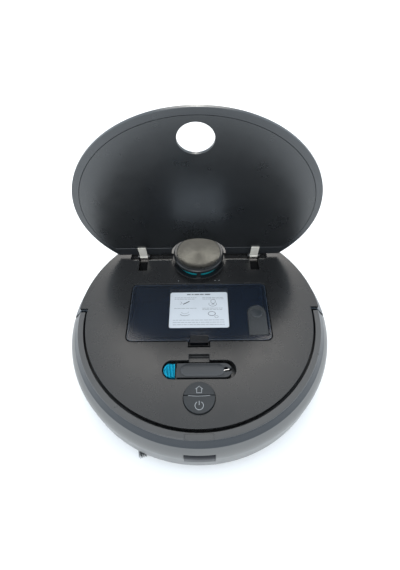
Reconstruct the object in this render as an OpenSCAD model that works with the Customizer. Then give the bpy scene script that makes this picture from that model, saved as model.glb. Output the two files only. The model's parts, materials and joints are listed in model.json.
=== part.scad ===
// Round robot vacuum cleaner with a laser turret and a hinged top cover, shown open.
// Millimetres. +Z is up, the front faces -Y, and the origin is on the floor under the
// centre of the body.

/* [Body] */
// Outer diameter of the body, bumper included
body_d = 350; // [340:5:430]
// Height of the top deck above the floor
deck_z = 79; // [78:0.5:96]
// Height of the flat underside above the floor
ground_gap = 12.5; // [11:0.5:14]
// Wall thickness of the moulded shells
wall = 2.5; // [2:0.1:2.8]
// Thickness of the top deck's plate
deck_t = 2.4; // [2:0.1:2.8]
// Bevel at the foot of the outer wall
foot_bevel = 2; // [1:0.5:3]
// Drop from the deck to the waist where the outer wall starts to curve in
waist_drop = 31; // [28:1:34]
// Drop from the deck to the lower edge of the sloped band
shoulder_drop = 14; // [12:1:16]
// Radial distance from the outer wall to the lower edge of the sloped band
shoulder_in = 8; // [7:1:9]
// Drop from the deck to the upper edge of the sloped band
band_drop = 5; // [4:0.5:6]
// Radial distance from the outer wall to the upper edge of the sloped band
band_in = 14; // [13:1:16]

/* [Bumper] */
// Travel of the bumper when it is pushed in
bumper_travel = 2.5; // [1:0.1:2.5]
// Clearance that is left round the bumper when it is pushed in
bumper_clear = 0.5; // [0.5:0.1:1]
// Radial width of the flat ring on top of the bumper
ring_w = 8; // [6:1:9]
// Drop from the deck to the top of the bumper's ring
ring_drop = 3; // [2:0.5:4]
// Distance behind the body's centre where the rear shell starts
rear_y = 6; // [5:0.5:9]
// Gap between the ends of the bumper and the rear shell
bumper_end_gap = 4; // [3.5:0.5:6]
// Width of the small insert in the front of the ring
insert_w = 31.6; // [24:0.2:40]
// Width of the dock sensor window
window_w = 35; // [28:1:44]
// Height of the dock sensor window
window_h = 20; // [14:1:24]

/* [Lid] */
// Distance of the hinge line behind the body's centre
hinge_y = 98; // [96:1:102]
// Height of the hinge line above the deck
hinge_rise = 1; // [1:0.1:1.2]
// Angle at which the lid stands open
lid_open = 80.2; // [60:0.1:88]
// Thickness of the lid
lid_t = 3.5; // [3:0.1:5]
// Overhang of the lid beyond the edge of the deck
lid_over = 0.5; // [0:0.1:1]
// Width of the raised rim round the lid's inside
lid_rim_w = 8; // [6:1:10]
// Width of a steel hinge arm
arm_w = 11.5; // [9:0.5:14]
// Distance of a hinge arm from the middle
arm_x = 82; // [76:1:90]
// Length of a hinge arm along the lid
arm_l = 24; // [20:1:28]

/* [Turret] */
// Outer diameter of the laser turret
turret_d = 73; // [60:1:90]
// Distance of the turret's axis behind the body's centre
turret_y = 92; // [90:1:94]
// Height of the turret above the deck
turret_h = 16; // [14:1:20]
// Height of the turret's cap
turret_cap_h = 5.7; // [5:0.1:7]

/* [Dustbin] */
// Width of the dustbin's cover
bin_w = 187; // [156:1:190]
// Length of the dustbin's cover
bin_l = 90; // [84:1:92]
// Distance of the cover's middle behind the body's centre
bin_y = 0.75; // [0:0.25:2]
// Thickness of the dustbin's clear cover
cover_t = 3; // [2.5:0.1:3.5]
// Width of the label on the cover
label_w = 78.6; // [60:1:90]
// Length of the label on the cover
label_l = 56.3; // [40:1:60]
// Width of the dustbin's latch
latch_w = 23; // [18:1:26]

/* [Cleaning tool] */
// Length of the tool's pocket in the deck
pocket_l = 89; // [80:1:100]
// Width of the tool's pocket in the deck
pocket_w = 24; // [20:1:28]
// Distance of the pocket's middle in front of the body's centre
pocket_y = 82; // [80:1:84]

/* [Buttons] */
// Diameter of the split round button
button_d = 36; // [30:1:38]
// Distance of the button in front of the body's centre
button_y = 116.5; // [114:0.5:120]
// Height of the button above the deck
button_rise = 3.3; // [2:0.1:4]
// Travel of a button
button_travel = 0.8; // [0.5:0.1:1]

/* [Drive] */
// Diameter of a drive wheel
wheel_d = 70; // [58:1:72]
// Width of a drive wheel
wheel_w = 22; // [16:1:24]
// Diameter of the caster's wheel
caster_d = 28; // [24:1:30]
// Distance of the caster's swivel in front of the body's centre
caster_y = 132; // [130:1:133]
// Trail of the caster's wheel behind its swivel
caster_trail = 6; // [4:0.5:7]

/* [Brushes] */
// Diameter of the main brush over its bristles
roller_d = 38; // [34:1:38]
// Distance of the main brush's axis in front of the body's centre
roller_y = 62; // [62:1:64]
// Height of the main brush's axis above the floor
roller_z = 22.5; // [22:0.5:23]
// Left end of the main brush's bristles
roller_x0 = -78; // [-78:1:-60]
// Right end of the main brush's bristles
roller_x1 = 80; // [60:1:80]
// Left distance of the side brush's axis
side_x = 86; // [82:1:90]
// Distance of the side brush's axis in front of the body's centre
side_y = 99; // [99:1:102]
// Length of a side brush arm from the axis to its tip
side_l = 67; // [50:0.5:67]

/* [Hidden] */
$fn = 96;

eps = 0.5;            // overlap of a cut beyond the face it opens
gap = 0.5;            // clearance between neighbouring pieces of different bodies
run = 0.05;           // radial clearance of a shaft in its bore
tight = 0.15;         // clearance round a piece that is set into another of the same body

// Body
bumper_gap = bumper_travel + bumper_clear;     // from the bumper's top ring to the deck
body_r = body_d/2;
bottom_z = ground_gap;
floor_z = bottom_z + wall;                    // top of the bottom plate
deck_under = deck_z - deck_t;
waist_z = deck_z - waist_drop;
shoulder_z = deck_z - shoulder_drop;
band_z = deck_z - band_drop;
plate_r = body_r - foot_bevel - wall - bumper_gap - bumper_clear;    // bottom plate
chassis_r = body_r - 15;                      // outside of the chassis wall
shelf_t = 2.5;
shelf_z = shoulder_z - 0.5;                   // top of the chassis wall, where the deck stands
ring_r = body_r - band_in - ring_w;           // inner edge of the bumper's top ring
deck_r = ring_r - bumper_gap;                 // edge of the deck at the front
deck_rear_r = body_r - band_in;               // edge of the deck behind the bumper
foot_h = 5;

// Bumper
bumper_y = rear_y - bumper_end_gap;
window_z = shoulder_z - 7.5 - window_h;       // lower edge of the dock sensor window
insert_r0 = sqrt(pow(ring_r + 2.2, 2) - pow(insert_w/2, 2));     // straight rear edge of the insert

// Hinge and lid
hinge_z = deck_z + hinge_rise;
lid_z = deck_z + gap;                         // inner face of the closed lid
lid_r = deck_r + lid_over;
liner_r = lid_r - lid_rim_w;
lid_edge_y = hinge_y - 4.6;                   // straight edge of the closed lid
liner_edge_y = hinge_y - 22;
liner_t = 1.4;
notch_r = turret_d/2 + 3.5;
knuckle_r = 3.2;
pin_r = 1.5;
arm_t = 1.6;
ear_t = 2.5;
trough_x = 102;
trough_y0 = hinge_y - 7;
trough_y1 = hinge_y + 5.5;
trough_depth = 7.5;
slot_y0 = hinge_y - arm_l - 3;
slot_w = arm_w + 1;

// Turret and its drive
turret_r = turret_d/2;
turret_top = deck_z + turret_h;
base_ring_r = turret_r + 2;
base_ring_h = 1.6;
rotor_r = turret_r - 5.5;
rotor_hole_r = rotor_r + 1.2;
cap_z = turret_top - turret_cap_h;
disc_t = 0.8;
lidar_z = deck_z - 17;                        // underside of the turret's carrier
lidar_t = 2.4;
rotor_z = lidar_z + lidar_t + 1.6;
pulley_h = 4;
rotor_pulley_r = rotor_r - 4;
motor_pulley_r = 6;
lidar_motor_x = -52 - (rotor_r - 31);
lidar_motor_y = turret_y - 16;
spindle_r = 5;
post_r = 3;
collar_h = 6;

// Dustbin and its bay
bin_wall = 1.8;
bay_gap = 1.5;
tub_w = bin_w - 7;
tub_y0 = bin_y - bin_l/2 + 6.25;
tub_y1 = bin_y + bin_l/2 - 1.75;
cover_r = 7.5;
cover_z = deck_z - cover_t;                   // underside of the cover
seal_t = 2;
seal_w = 3;
tub_top = cover_z - seal_t;
bay_floor = 36.4;                             // top of the bay's floor
bay_floor_t = 2;
tub_z = bay_floor + 0.4;
bay_x = tub_w/2 + bay_gap;
bay_wall = 2;
bay_y0 = tub_y0 - bay_gap;
bay_y1 = tub_y1 + bay_gap;
ledge_z = cover_z - 0.4;                      // ledge in the deck under the cover's edge
tank_x = tub_w/2 - 30;                        // partition between dust and water
inlet_x = 36;
inlet_z0 = 45;
inlet_z1 = shelf_z - 1;
filter_x = 38;
filter_z0 = 44;
filter_z1 = tub_top - 4;
filter_t = 10;
plug_x = bin_w/2 - 16.75;
plug_w = 24.5;
plug_y0 = bin_y - bin_l/2 + 8.25;
plug_l = 44.4;
plug_t = 1.5;
plug_floor = deck_z - 1.9;
stem_r = 5.5;

// Latch
latch_y0 = bin_y - bin_l/2 - 2;
latch_y1 = latch_y0 + 10;
latch_travel = 3;
latch_h = 6;
latch_top = deck_z - 0.6;
latch_seat = cover_z + 0.6;                   // floor of the latch's slot in the cover
latch_pocket_y = bin_y - bin_l/2 - 8.5;
latch_pocket_w = 28;

// Tool
pocket_floor = deck_z - 13;
pocket_t = 1.6;
tab_w = 25.4;
tab_y1 = -62;
tool_z = pocket_floor + 0.5;
tool_top = deck_z - 0.4;
tool_w = pocket_w - 6;
tool_bristle_l = 16.4;
tool_x0 = -pocket_l/2 + 1;
tool_x1 = pocket_l/2 - 1;
tool_neck_x = 30.5;

// Buttons
button_r = button_d/2;
button_top = deck_z + button_rise;
button_split = 2.4;                           // divider behind the button's middle
button_slit = 0.8;
button_flange = 2;
key_z = deck_under - 3;                       // underside of the keys
switch_w = 6;

// Main brush
roller_r = roller_d/2;
cavity_r = roller_r + 3;
cavity_x0 = roller_x0 - 4;
cavity_x1 = roller_x1 + 3;
cavity_wall = 2;
brush_gearbox_t = 7;                          // gearbox case outside the cavity's right end
core_r = 6;
stub_r = 2.5;
coupling_r = 4;
throat_y = -roller_y + 4;
throat_h = 4;

// Wheels
well_wall = 2;
well_gap = 2;                                 // between a gearbox and its well's inner wall
wheel_z = wheel_d/2;
wheel_y = 12;
hub_r = wheel_d/2 - 8;
gearbox_t = 11;
gearbox_x0 = max(bin_w/2 + 4,                 // outside the dustbin and the brush gearbox
    cavity_x1 + cavity_wall + brush_gearbox_t + well_wall + well_gap + tight);
gearbox_x1 = gearbox_x0 + gearbox_t;
wheel_gap = 2.5;
wheel_x0 = gearbox_x1 + wheel_gap;
wheel_x1 = wheel_x0 + wheel_w;
pivot_y = wheel_y - wheel_d/2 - 11;
pivot_z = wheel_z + 3;
pivot_r = 3;
arm_hub_r = 15;
arm_pivot_r = 10;
axle_r = 4;
well_x0 = gearbox_x0 - well_gap;
well_x1 = wheel_x1 + 2.5;
well_y0 = pivot_y - arm_pivot_r - 3;
well_y1 = wheel_y + wheel_d/2 + 5;
spring_seat_z = wheel_z + arm_hub_r;
spring_top_z = spring_seat_z + 12;
spring_r = 4;
spring_wire = 1.1;

// Caster
caster_roof = 33;
caster_wheel_w = 14;
caster_stem_r = 3;
caster_stem_top = 45;
caster_z = caster_d/2;
caster_swing_r = sqrt(pow(caster_trail + caster_d/2, 2) + pow(caster_wheel_w/2, 2));
caster_recess_r = caster_swing_r + 1;

// Side brush
side_angle = 284;                             // direction of the first arm
side_hub_r = 9;
side_shaft_r = 2;
side_hub_z0 = 3;
bristle_z = 1.2;
side_hub_z1 = bottom_z - 0.5;
side_motor_r = 12;

// Battery, fan and electronics
battery_x = 36;
battery_y0 = -33;
battery_y1 = 38;
battery_z1 = bay_floor - bay_floor_t - 0.6;
hatch_margin = 3;
hatch_t = 2.2;
fan_x = 36;
fan_y = bay_y1 + 36.5;
fan_r = 32;
fan_z0 = floor_z + 2;
fan_z1 = 50;
duct_z1 = shelf_z - 3.5;
duct_w = 44;
fan_wall = 1.8;
grille_x = fan_x;
grille_w = 46;
grille_z0 = 21;
grille_z1 = 43;
board_w = 100;
board_y0 = -146;
board_y1 = -100;
board_z = 52;
contact_x = 30;
contact_y = -150;

// ---- shared shapes ----

// A flat plate with rounded corners, centred in X and Y, standing on z
module rounded_plate(w, l, t, r, z) {
    translate([-w/2 + r, -l/2, z]) cube([w - 2*r, l, t]);
    translate([-w/2, -l/2 + r, z]) cube([w, l - 2*r, t]);
    for (sx = [-1, 1], sy = [-1, 1])
        translate([sx*(w/2 - r), sy*(l/2 - r), z]) cylinder(r = r, h = t);
}

// A slot with two round ends, centred in X and Y, standing on z
module stadium(l, w, t, z) {
    translate([-l/2 + w/2, -w/2, z]) cube([l - w, w, t]);
    for (s = [-1, 1]) translate([s*(l/2 - w/2), 0, z]) cylinder(r = w/2, h = t);
}

// A ring between two radii and two heights, centred on the Z axis
module ring(r1, r0, z0, z1) {
    rotate_extrude() translate([r0, z0]) square([r1 - r0, z1 - z0]);
}

// Everything in front of the line y
module in_front_of(y) {
    intersection() {
        children();
        translate([-body_d, y - 2*body_d, -10]) cube([2*body_d, 2*body_d, 400]);
    }
}

// Everything behind the line y
module behind(y) {
    intersection() {
        children();
        translate([-body_d, y, -10]) cube([2*body_d, 2*body_d, 400]);
    }
}

// Points of a circular arc in the section plane
function arc(cr, cz, r, a0, a1, n) =
    [for (i = [0:n]) [cr + r*cos(a0 + (a1 - a0)*i/n), cz + r*sin(a0 + (a1 - a0)*i/n)]];

// Outer line of the shells from the foot to the top of the sloped band, moved in by d
curve_h = shoulder_z - waist_z;
curve_r = (shoulder_in*shoulder_in + curve_h*curve_h)/(2*shoulder_in);
curve_a = asin(curve_h/curve_r);
function shell_line(d) = concat(
    [[body_r - foot_bevel - d, bottom_z], [body_r - d, bottom_z + foot_h]],
    arc(body_r - d - curve_r, waist_z, curve_r, 0, curve_a, 6),
    [[body_r - band_in - d, band_z - d/2]]);

// Section of the shell wall, with the flange inside its top edge
module shell_section(flange_r) {
    outer = shell_line(0);
    inner = shell_line(wall);
    polygon(concat(outer, [for (i = [len(inner) - 1:-1:0]) inner[i]]));
    translate([flange_r, band_z - wall]) square([body_r - band_in - flange_r, wall]);
}

// Places children, drawn on the closed lid, where the lid stands open
module on_lid() {
    translate([0, hinge_y, hinge_z]) rotate([-lid_open, 0, 0])
        translate([0, -hinge_y, -hinge_z]) children();
}

// A cylinder along X
module rod_x(r, x0, x1) {
    translate([x0, 0, 0]) rotate([0, 90, 0]) cylinder(r = r, h = x1 - x0);
}

// ---- chassis ----

// One wheel well's walls on the right side
module well_walls() {
    translate([well_x0 - well_wall, well_y0 - well_wall, bottom_z])
        cube([well_x1 - well_x0 + 2*well_wall, well_y1 - well_y0 + 2*well_wall, shelf_z - bottom_z]);
}

module well_space() {
    difference() {
        translate([well_x0, well_y0, bottom_z - eps])
            cube([well_x1 - well_x0, well_y1 - well_y0, shelf_z - bottom_z + 2*eps]);
        translate([well_x0 - 1, wheel_y - 7, spring_top_z]) cube([gearbox_t + 3, 14, shelf_t]);
        translate([0, pivot_y, pivot_z]) rod_x(pivot_r, well_x0 - 1, gearbox_x1 - 1);
    }
}

// A tunnel round the main brush: an arched roof on straight walls that start at z0
module brush_tunnel(r, x0, x1, z0) {
    translate([x0, -roller_y - r, z0]) cube([x1 - x0, 2*r, roller_z - z0]);
    intersection() {
        translate([0, -roller_y, roller_z]) rod_x(r, x0, x1);
        translate([x0, -roller_y - r, roller_z - 1]) cube([x1 - x0, 2*r, r + 2]);
    }
}

module throat(x, y0, y1, z0, z1) {
    translate([-x, y0, z0]) cube([2*x, y1 - y0, z1 - z0]);
}

module chassis_tub() {
    color("dimgray") difference() {
        union() {
            translate([0, 0, bottom_z]) cylinder(r = plate_r, h = wall);
            ring(chassis_r, chassis_r - wall, floor_z - eps, shelf_z);
            ring(chassis_r, deck_r - 3, shelf_z - shelf_t, shelf_z);
            well_walls();
            mirror([1, 0, 0]) well_walls();
            brush_tunnel(cavity_r + cavity_wall, cavity_x0 - cavity_wall, cavity_x1 + cavity_wall,
                bottom_z);
            throat(inlet_x + 2, throat_y - 2, bay_y0, roller_z, inlet_z1 + 1);
            translate([-bay_x - bay_wall, bay_y0 - bay_wall, bay_floor - bay_floor_t])
                cube([2*(bay_x + bay_wall), bay_y1 - bay_y0 + 2*bay_wall,
                    shelf_z - bay_floor + bay_floor_t]);
            translate([0, -caster_y, floor_z - eps])
                cylinder(r = caster_recess_r + 2, h = caster_roof + 2 - floor_z + eps);
            translate([0, -caster_y, caster_roof]) cylinder(r = 7, h = caster_stem_top + 2 - caster_roof);
            for (sx = [-1, 1], y = [board_y0 + 6, board_y1 - 6])
                translate([sx*(board_w/2 - 6), y, floor_z - eps])
                    cylinder(r = post_r, h = board_z - floor_z + eps);
            for (sx = [-1, 1], y = [battery_y0 - 0.3, battery_y1 + 1])
                translate([sx*battery_x/2 - 3, y > 0 ? y : y - 1.7, floor_z - eps])
                    cube([6, 1.7, bay_floor - bay_floor_t - floor_z + 2*eps]);
        }
        // dustbin bay
        translate([-bay_x, bay_y0, bay_floor]) cube([2*bay_x, bay_y1 - bay_y0, shelf_z]);
        // wheel wells
        well_space();
        mirror([1, 0, 0]) well_space();
        // brush cavity, its suction throat and the throat's mouth in the bay's front wall
        brush_tunnel(cavity_r, cavity_x0, cavity_x1, bottom_z - eps);
        throat(inlet_x, throat_y, bay_y0 + eps, inlet_z0 - throat_h, inlet_z1 - 1);
        // ends of the main brush: a bearing on the left, the gearbox's coupling on the right
        translate([0, -roller_y, roller_z]) rod_x(stub_r + run, cavity_x0 - 1.6, cavity_x0 + 1);
        translate([0, -roller_y, roller_z])
            rod_x(coupling_r + tight, cavity_x1 - 1, cavity_x1 + cavity_wall + eps);
        // air outlet behind the filter
        translate([fan_x - duct_w/2 + fan_wall, bay_y1 - eps, fan_z1 + fan_wall])
            cube([duct_w - 2*fan_wall, bay_wall + 2*eps, duct_z1 - fan_z1 - 2*fan_wall]);
        // exhaust opening in the rear wall
        translate([grille_x - grille_w/2, 0, grille_z0]) translate([0, chassis_r/2, 0])
            cube([grille_w, chassis_r, grille_z1 - grille_z0]);
        // caster recess and its stem bore
        translate([0, -caster_y, bottom_z - eps])
            cylinder(r = caster_recess_r, h = caster_roof - bottom_z + eps);
        translate([0, -caster_y, caster_roof - eps])
            cylinder(r = caster_stem_r + run, h = caster_stem_top - caster_roof + eps);
        // side brush shaft
        translate([-side_x, -side_y, bottom_z - eps]) cylinder(r = 5, h = wall + 2*eps);
        // battery hatch
        translate([0, (battery_y0 + battery_y1)/2, 0])
            rounded_plate(2*(battery_x + hatch_margin), battery_y1 - battery_y0 + 3, wall + 2*eps, 4,
                bottom_z - eps);
        // cliff sensor windows and charging contacts
        cliff_places() translate([0, 0, bottom_z - eps]) rounded_plate(20, 10, wall + 2*eps, 3, 0);
        contact_places() translate([0, 0, bottom_z - eps]) rounded_plate(22.4, 10.4, 1.5 + eps, 2, 0);
        screw_places() translate([0, 0, bottom_z - eps]) cylinder(r = 3.4, h = 1.5 + eps);
    }
}

module cliff_places() {
    for (a = [205, 250, 290, 335]) rotate(a) translate([chassis_r - 10, 0, 0]) rotate(90) children();
}

module contact_places() {
    for (s = [-1, 1]) translate([s*contact_x, contact_y, 0]) children();
}

module screw_places() {
    for (a = [25, 60, 90, 120, 155, 180, 0]) rotate(a) translate([chassis_r - 8, 0, 0]) children();
    for (s = [-1, 1]) translate([s*52, -104, 0]) children();
}

module rear_shell() {
    color("#3d4247") difference() {
        behind(rear_y) union() {
            rotate_extrude() shell_section(deck_r + 0.5);
            ring(body_r - wall + 0.2, chassis_r + 1, floor_z, floor_z + 2);
        }
        translate([grille_x - grille_w/2, chassis_r/2, grille_z0])
            cube([grille_w, chassis_r, grille_z1 - grille_z0]);
    }
}

module exhaust_grille() {
    slat = 2;
    pitch = 4.4;
    color("#26292d") intersection() {
        ring(body_r - wall - 0.2, body_r - wall - 2.2, grille_z0 - 2, grille_z1 + 2);
        difference() {
            translate([grille_x - grille_w/2 - 2, chassis_r/2, grille_z0 - 2])
                cube([grille_w + 4, chassis_r, grille_z1 - grille_z0 + 4]);
            for (z = [grille_z0 + 1:pitch:grille_z1 - slat])
                translate([grille_x - grille_w/2 + 2, 0, z]) cube([grille_w - 4, body_d, slat]);
        }
    }
}

module cliff_sensor_windows() {
    color("#140f1c") cliff_places()
        rounded_plate(20 - 2*tight, 10 - 2*tight, wall - 0.4, 3 - tight, bottom_z + 0.4);
}

module charging_contacts() {
    color("silver") contact_places() rounded_plate(22, 10, 1.6, 2, bottom_z - 0.6);
}

module bottom_screws() {
    color("silver") screw_places() difference() {
        translate([0, 0, bottom_z + 0.2]) cylinder(r = 3, h = 1.2);
        for (a = [0, 90]) rotate(a) translate([-1.8, -0.4, bottom_z]) cube([3.6, 0.8, 1]);
    }
}

// ---- top deck ----

module trough_space(grow, z) {
    difference() {
        translate([0, (trough_y0 + trough_y1)/2, 0])
            rounded_plate(2*(trough_x + grow), trough_y1 - trough_y0 + 2*grow, deck_z - z + eps, 4 + grow, z);
        translate([0, turret_y, z - eps]) cylinder(r = base_ring_r, h = deck_z);
    }
}

module top_deck() {
    color("#474c50") difference() {
        union() {
            translate([0, 0, deck_under]) cylinder(r = deck_r, h = deck_t);
            ring(deck_r, deck_r - 2.4, shelf_z, deck_z);
            behind(rear_y) {
                translate([0, 0, deck_under]) cylinder(r = deck_rear_r, h = deck_t);
                ring(deck_rear_r, deck_rear_r - 2.5, band_z, deck_z);
            }
            // frame round the dustbin
            translate([-bay_x - 4.5, bay_y0 - 8, shelf_z])
                cube([2*bay_x + 9, bay_y1 - bay_y0 + 12, deck_z - shelf_z]);
            // tool pocket and its finger tab
            translate([0, -pocket_y, 0])
                stadium(pocket_l + 2*pocket_t, pocket_w + 2*pocket_t, deck_z - pocket_floor,
                    pocket_floor - pocket_t);
            translate([-tab_w/2 - 2, -pocket_y, deck_z - 9]) cube([tab_w + 4, tab_y1 + pocket_y + 2, 9]);
            // sleeve round the button
            translate([0, -button_y, deck_z - 6]) cylinder(r = button_r + 4.5, h = 6);
            // hinge trough, arm slots and the turret's collar
            intersection() {
                trough_space(2.5, deck_z - trough_depth - 1.5);
                translate([0, 0, deck_z - 20]) cylinder(r = deck_rear_r - 1, h = 20);
            }
            for (s = [-1, 1]) translate([s*arm_x - slot_w/2 - 2, slot_y0 - 2, deck_z - trough_depth - 1.5])
                cube([slot_w + 4, trough_y0 - slot_y0 + 4, trough_depth + 1.5]);
            ring_at_turret(base_ring_r, rotor_hole_r, deck_z - collar_h, deck_z);
        }
        // opening for the dustbin, with the ledge under its cover
        translate([-bay_x, bay_y0, shelf_z - eps]) cube([2*bay_x, bay_y1 - bay_y0, deck_z]);
        translate([0, bin_y, 0])
            rounded_plate(bin_w + 2*gap, bin_l + 2*gap, deck_z, cover_r + gap, ledge_z);
        // finger recess in front of the latch
        translate([-latch_pocket_w/2, latch_pocket_y, latch_top - latch_h - 1])
            cube([latch_pocket_w, bay_y0 + 1 - latch_pocket_y, deck_z]);
        // tool pocket
        translate([0, -pocket_y, 0]) stadium(pocket_l, pocket_w, deck_z, pocket_floor);
        translate([-tab_w/2, -pocket_y, deck_z - 7]) cube([tab_w, tab_y1 + pocket_y, deck_z]);
        // button hole with room for the button's flange below it
        translate([0, -button_y, 0]) {
            translate([0, 0, deck_z - 10]) cylinder(r = button_r + gap, h = 20);
            translate([0, 0, deck_z - 10]) cylinder(r = button_r + button_flange + gap, h = 10 - deck_t);
        }
        // hinge trough and the slots that take the arms when the lid is shut
        trough_space(0, deck_z - trough_depth);
        for (s = [-1, 1]) translate([s*arm_x - slot_w/2, slot_y0, deck_z - trough_depth])
            cube([slot_w, trough_y0 - slot_y0 + eps, deck_z]);
        translate([0, turret_y, shelf_z]) cylinder(r = rotor_hole_r, h = deck_z);
    }
    // ears that carry the hinge pins
    color("#474c50") for (s = [-1, 1], e = [-1, 1])
        translate([s*arm_x + e*(arm_w/2 + gap + ear_t/2), 0, 0]) hinge_ear();
}

module ring_at_turret(r1, r0, z0, z1) {
    translate([0, turret_y, 0]) ring(r1, r0, z0, z1);
}

module hinge_ear() {
    difference() {
        union() {
            translate([-ear_t/2, hinge_y - knuckle_r, deck_z - trough_depth - 0.5])
                cube([ear_t, 2*knuckle_r, trough_depth + 0.5 + hinge_rise]);
            translate([0, hinge_y, hinge_z]) rod_x(knuckle_r, -ear_t/2, ear_t/2);
        }
        translate([0, hinge_y, hinge_z]) rod_x(pin_r, -ear_t, ear_t);
    }
}

module hinge_pins() {
    reach = arm_w/2 + gap + ear_t;
    color("silver") for (s = [-1, 1])
        translate([s*arm_x, hinge_y, hinge_z]) rod_x(pin_r, -reach, reach);
}

// ---- laser turret ----

module turret_cage() {
    pillar_w = 6;
    rim_r = turret_r - 3;
    color("#2a2e33") {
        ring_at_turret(base_ring_r, rotor_hole_r - 0.2, deck_z, deck_z + base_ring_h);
        translate([0, turret_y, 0]) rotate_extrude() polygon([[rim_r, cap_z], [turret_r, cap_z],
            [turret_r, turret_top - 1.5], [turret_r - 1.5, turret_top], [turret_r - 4.7, turret_top],
            [turret_r - 4.7, turret_top - disc_t], [0, turret_top - disc_t],
            [0, turret_top - disc_t - 1.4], [rim_r, turret_top - disc_t - 1.4]]);
        intersection() {
            ring_at_turret(turret_r, rim_r, deck_z + base_ring_h - 0.3, cap_z + 0.3);
            translate([0, turret_y, 0]) for (a = [270, 30, 150])
                rotate(a) translate([0, -pillar_w/2, deck_z]) cube([turret_r + 1, pillar_w, turret_h]);
        }
    }
}

module turret_cap_disc() {
    color("#55595d") translate([0, turret_y, turret_top - disc_t])
        cylinder(r = turret_r - 4.7 - tight, h = disc_t);
}

module lidar_base() {
    color("#1f2225") difference() {
        union() {
            behind(bay_y1 + bay_wall + gap) translate([0, turret_y, lidar_z])
                cylinder(r = turret_r + 5, h = lidar_t);
            translate([lidar_motor_x, lidar_motor_y, lidar_z]) cylinder(r = 14, h = lidar_t);
            translate([lidar_motor_x, lidar_motor_y - 10, lidar_z]) cube([-lidar_motor_x, 24, lidar_t]);
            translate([0, turret_y, lidar_z]) cylinder(r = spindle_r, h = rotor_z + 6 - lidar_z);
            for (a = [40, 115, 245, 320]) translate([0, turret_y, 0]) rotate(a)
                translate([(rotor_hole_r + base_ring_r)/2, 0, lidar_z])
                    cylinder(r = post_r, h = deck_z - collar_h - lidar_z);
        }
        translate([lidar_motor_x, lidar_motor_y, lidar_z - eps]) cylinder(r = 3, h = lidar_t + 2*eps);
    }
}

module lidar_rotor() {
    lens_z = deck_z + base_ring_h + (cap_z - deck_z - base_ring_h)/2;
    drum_z = rotor_z + pulley_h + 0.8;
    color("#149096") difference() {
        translate([0, turret_y, 0]) rotate_extrude() polygon([
            [0, rotor_z], [rotor_pulley_r, rotor_z], [rotor_pulley_r, drum_z - 0.8],
            [rotor_r, drum_z], [rotor_r, cap_z - 1.2], [rotor_r - 1, cap_z - 0.6], [0, cap_z - 0.6]]);
        translate([0, turret_y, rotor_z - eps]) cylinder(r = spindle_r + run, h = 6.5 + eps);
    }
    // laser outlet and camera lens
    color("black") for (a = [[312, 3.4], [334, 2.6]])
        translate([0, turret_y, lens_z]) rotate(a[0]) rod_x(a[1], rotor_r - 0.6, rotor_r + 0.5);
}

module lidar_pulley() {
    color("#101214") translate([lidar_motor_x, lidar_motor_y, rotor_z]) difference() {
        cylinder(r = motor_pulley_r, h = pulley_h - 0.4);
        translate([0, 0, -eps]) cylinder(r = 1 + run, h = pulley_h + 1);
    }
}

module lidar_motor() {
    color("silver") translate([lidar_motor_x, lidar_motor_y, 0]) {
        translate([0, 0, lidar_z - 12]) cylinder(r = 9, h = 12);
        translate([0, 0, lidar_z - eps]) cylinder(r = 1, h = rotor_z + pulley_h - lidar_z);
    }
}

module belt_line(d) {
    hull() {
        translate([0, turret_y]) circle(r = rotor_pulley_r + d);
        translate([lidar_motor_x, lidar_motor_y]) circle(r = motor_pulley_r + d);
    }
}

module lidar_belt() {
    color("#0c0c0d") translate([0, 0, rotor_z + 0.8]) linear_extrude(2) difference() {
        belt_line(1.5);
        belt_line(0.35);
    }
}

// ---- lid ----

module lid_outline(r, edge_y, t, z) {
    in_front_of(edge_y) translate([0, 0, z]) cylinder(r = r, h = t);
}

module lid_openings() {
    translate([0, turret_y, lid_z - eps]) cylinder(r = notch_r, h = lid_t + 2*eps);
    translate([0, -button_y, lid_z - eps]) cylinder(r = button_r + 0.8, h = lid_t + 2*eps);
}

module lid_panel() {
    color("#34383c") on_lid() difference() {
        lid_outline(lid_r, lid_edge_y, lid_t, lid_z);
        lid_outline(liner_r, liner_edge_y, liner_t + eps, lid_z - eps);
        lid_openings();
    }
}

module lid_liner() {
    color("#2b2f33") on_lid() difference() {
        lid_outline(liner_r - tight, liner_edge_y - tight, liner_t, lid_z);
        lid_openings();
    }
}

module hinge_arms() {
    color("#d9d6cc") on_lid() for (s = [-1, 1]) translate([s*arm_x, 0, 0]) difference() {
        union() {
            translate([-arm_w/2, hinge_y - arm_l, lid_z - arm_t]) cube([arm_w, arm_l, arm_t]);
            translate([0, hinge_y, hinge_z]) rod_x(knuckle_r, -arm_w/2, arm_w/2);
        }
        translate([0, hinge_y, hinge_z]) rod_x(pin_r + run, -arm_w, arm_w);
    }
}

// ---- bumper ----

module bumper_shell() {
    color("#4b5055") difference() {
        in_front_of(bumper_y) rotate_extrude() shell_section(ring_r);
        translate([-window_w/2 - tight, -body_d, window_z - tight])
            cube([window_w + 2*tight, body_d - chassis_r, window_h + 2*tight]);
    }
}

module bumper_top_ring() {
    top = deck_z - ring_drop;
    color("#5a6064") difference() {
        in_front_of(bumper_y) rotate_extrude() polygon([[ring_r, band_z], [ring_r + ring_w, band_z],
            [ring_r + ring_w, top - 1], [ring_r + ring_w - 1, top], [ring_r + 0.6, top],
            [ring_r, top - 0.6]]);
        translate([-insert_w/2, -body_r, band_z - eps]) cube([insert_w, body_r - insert_r0, 10]);
    }
}

module ring_insert() {
    color("#3c4145") intersection() {
        ring(ring_r + ring_w, ring_r - 1, band_z, deck_z - ring_drop);
        translate([-insert_w/2 + tight, -body_r, 0])
            cube([insert_w - 2*tight, body_r - insert_r0 - tight, deck_z]);
    }
}

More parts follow.
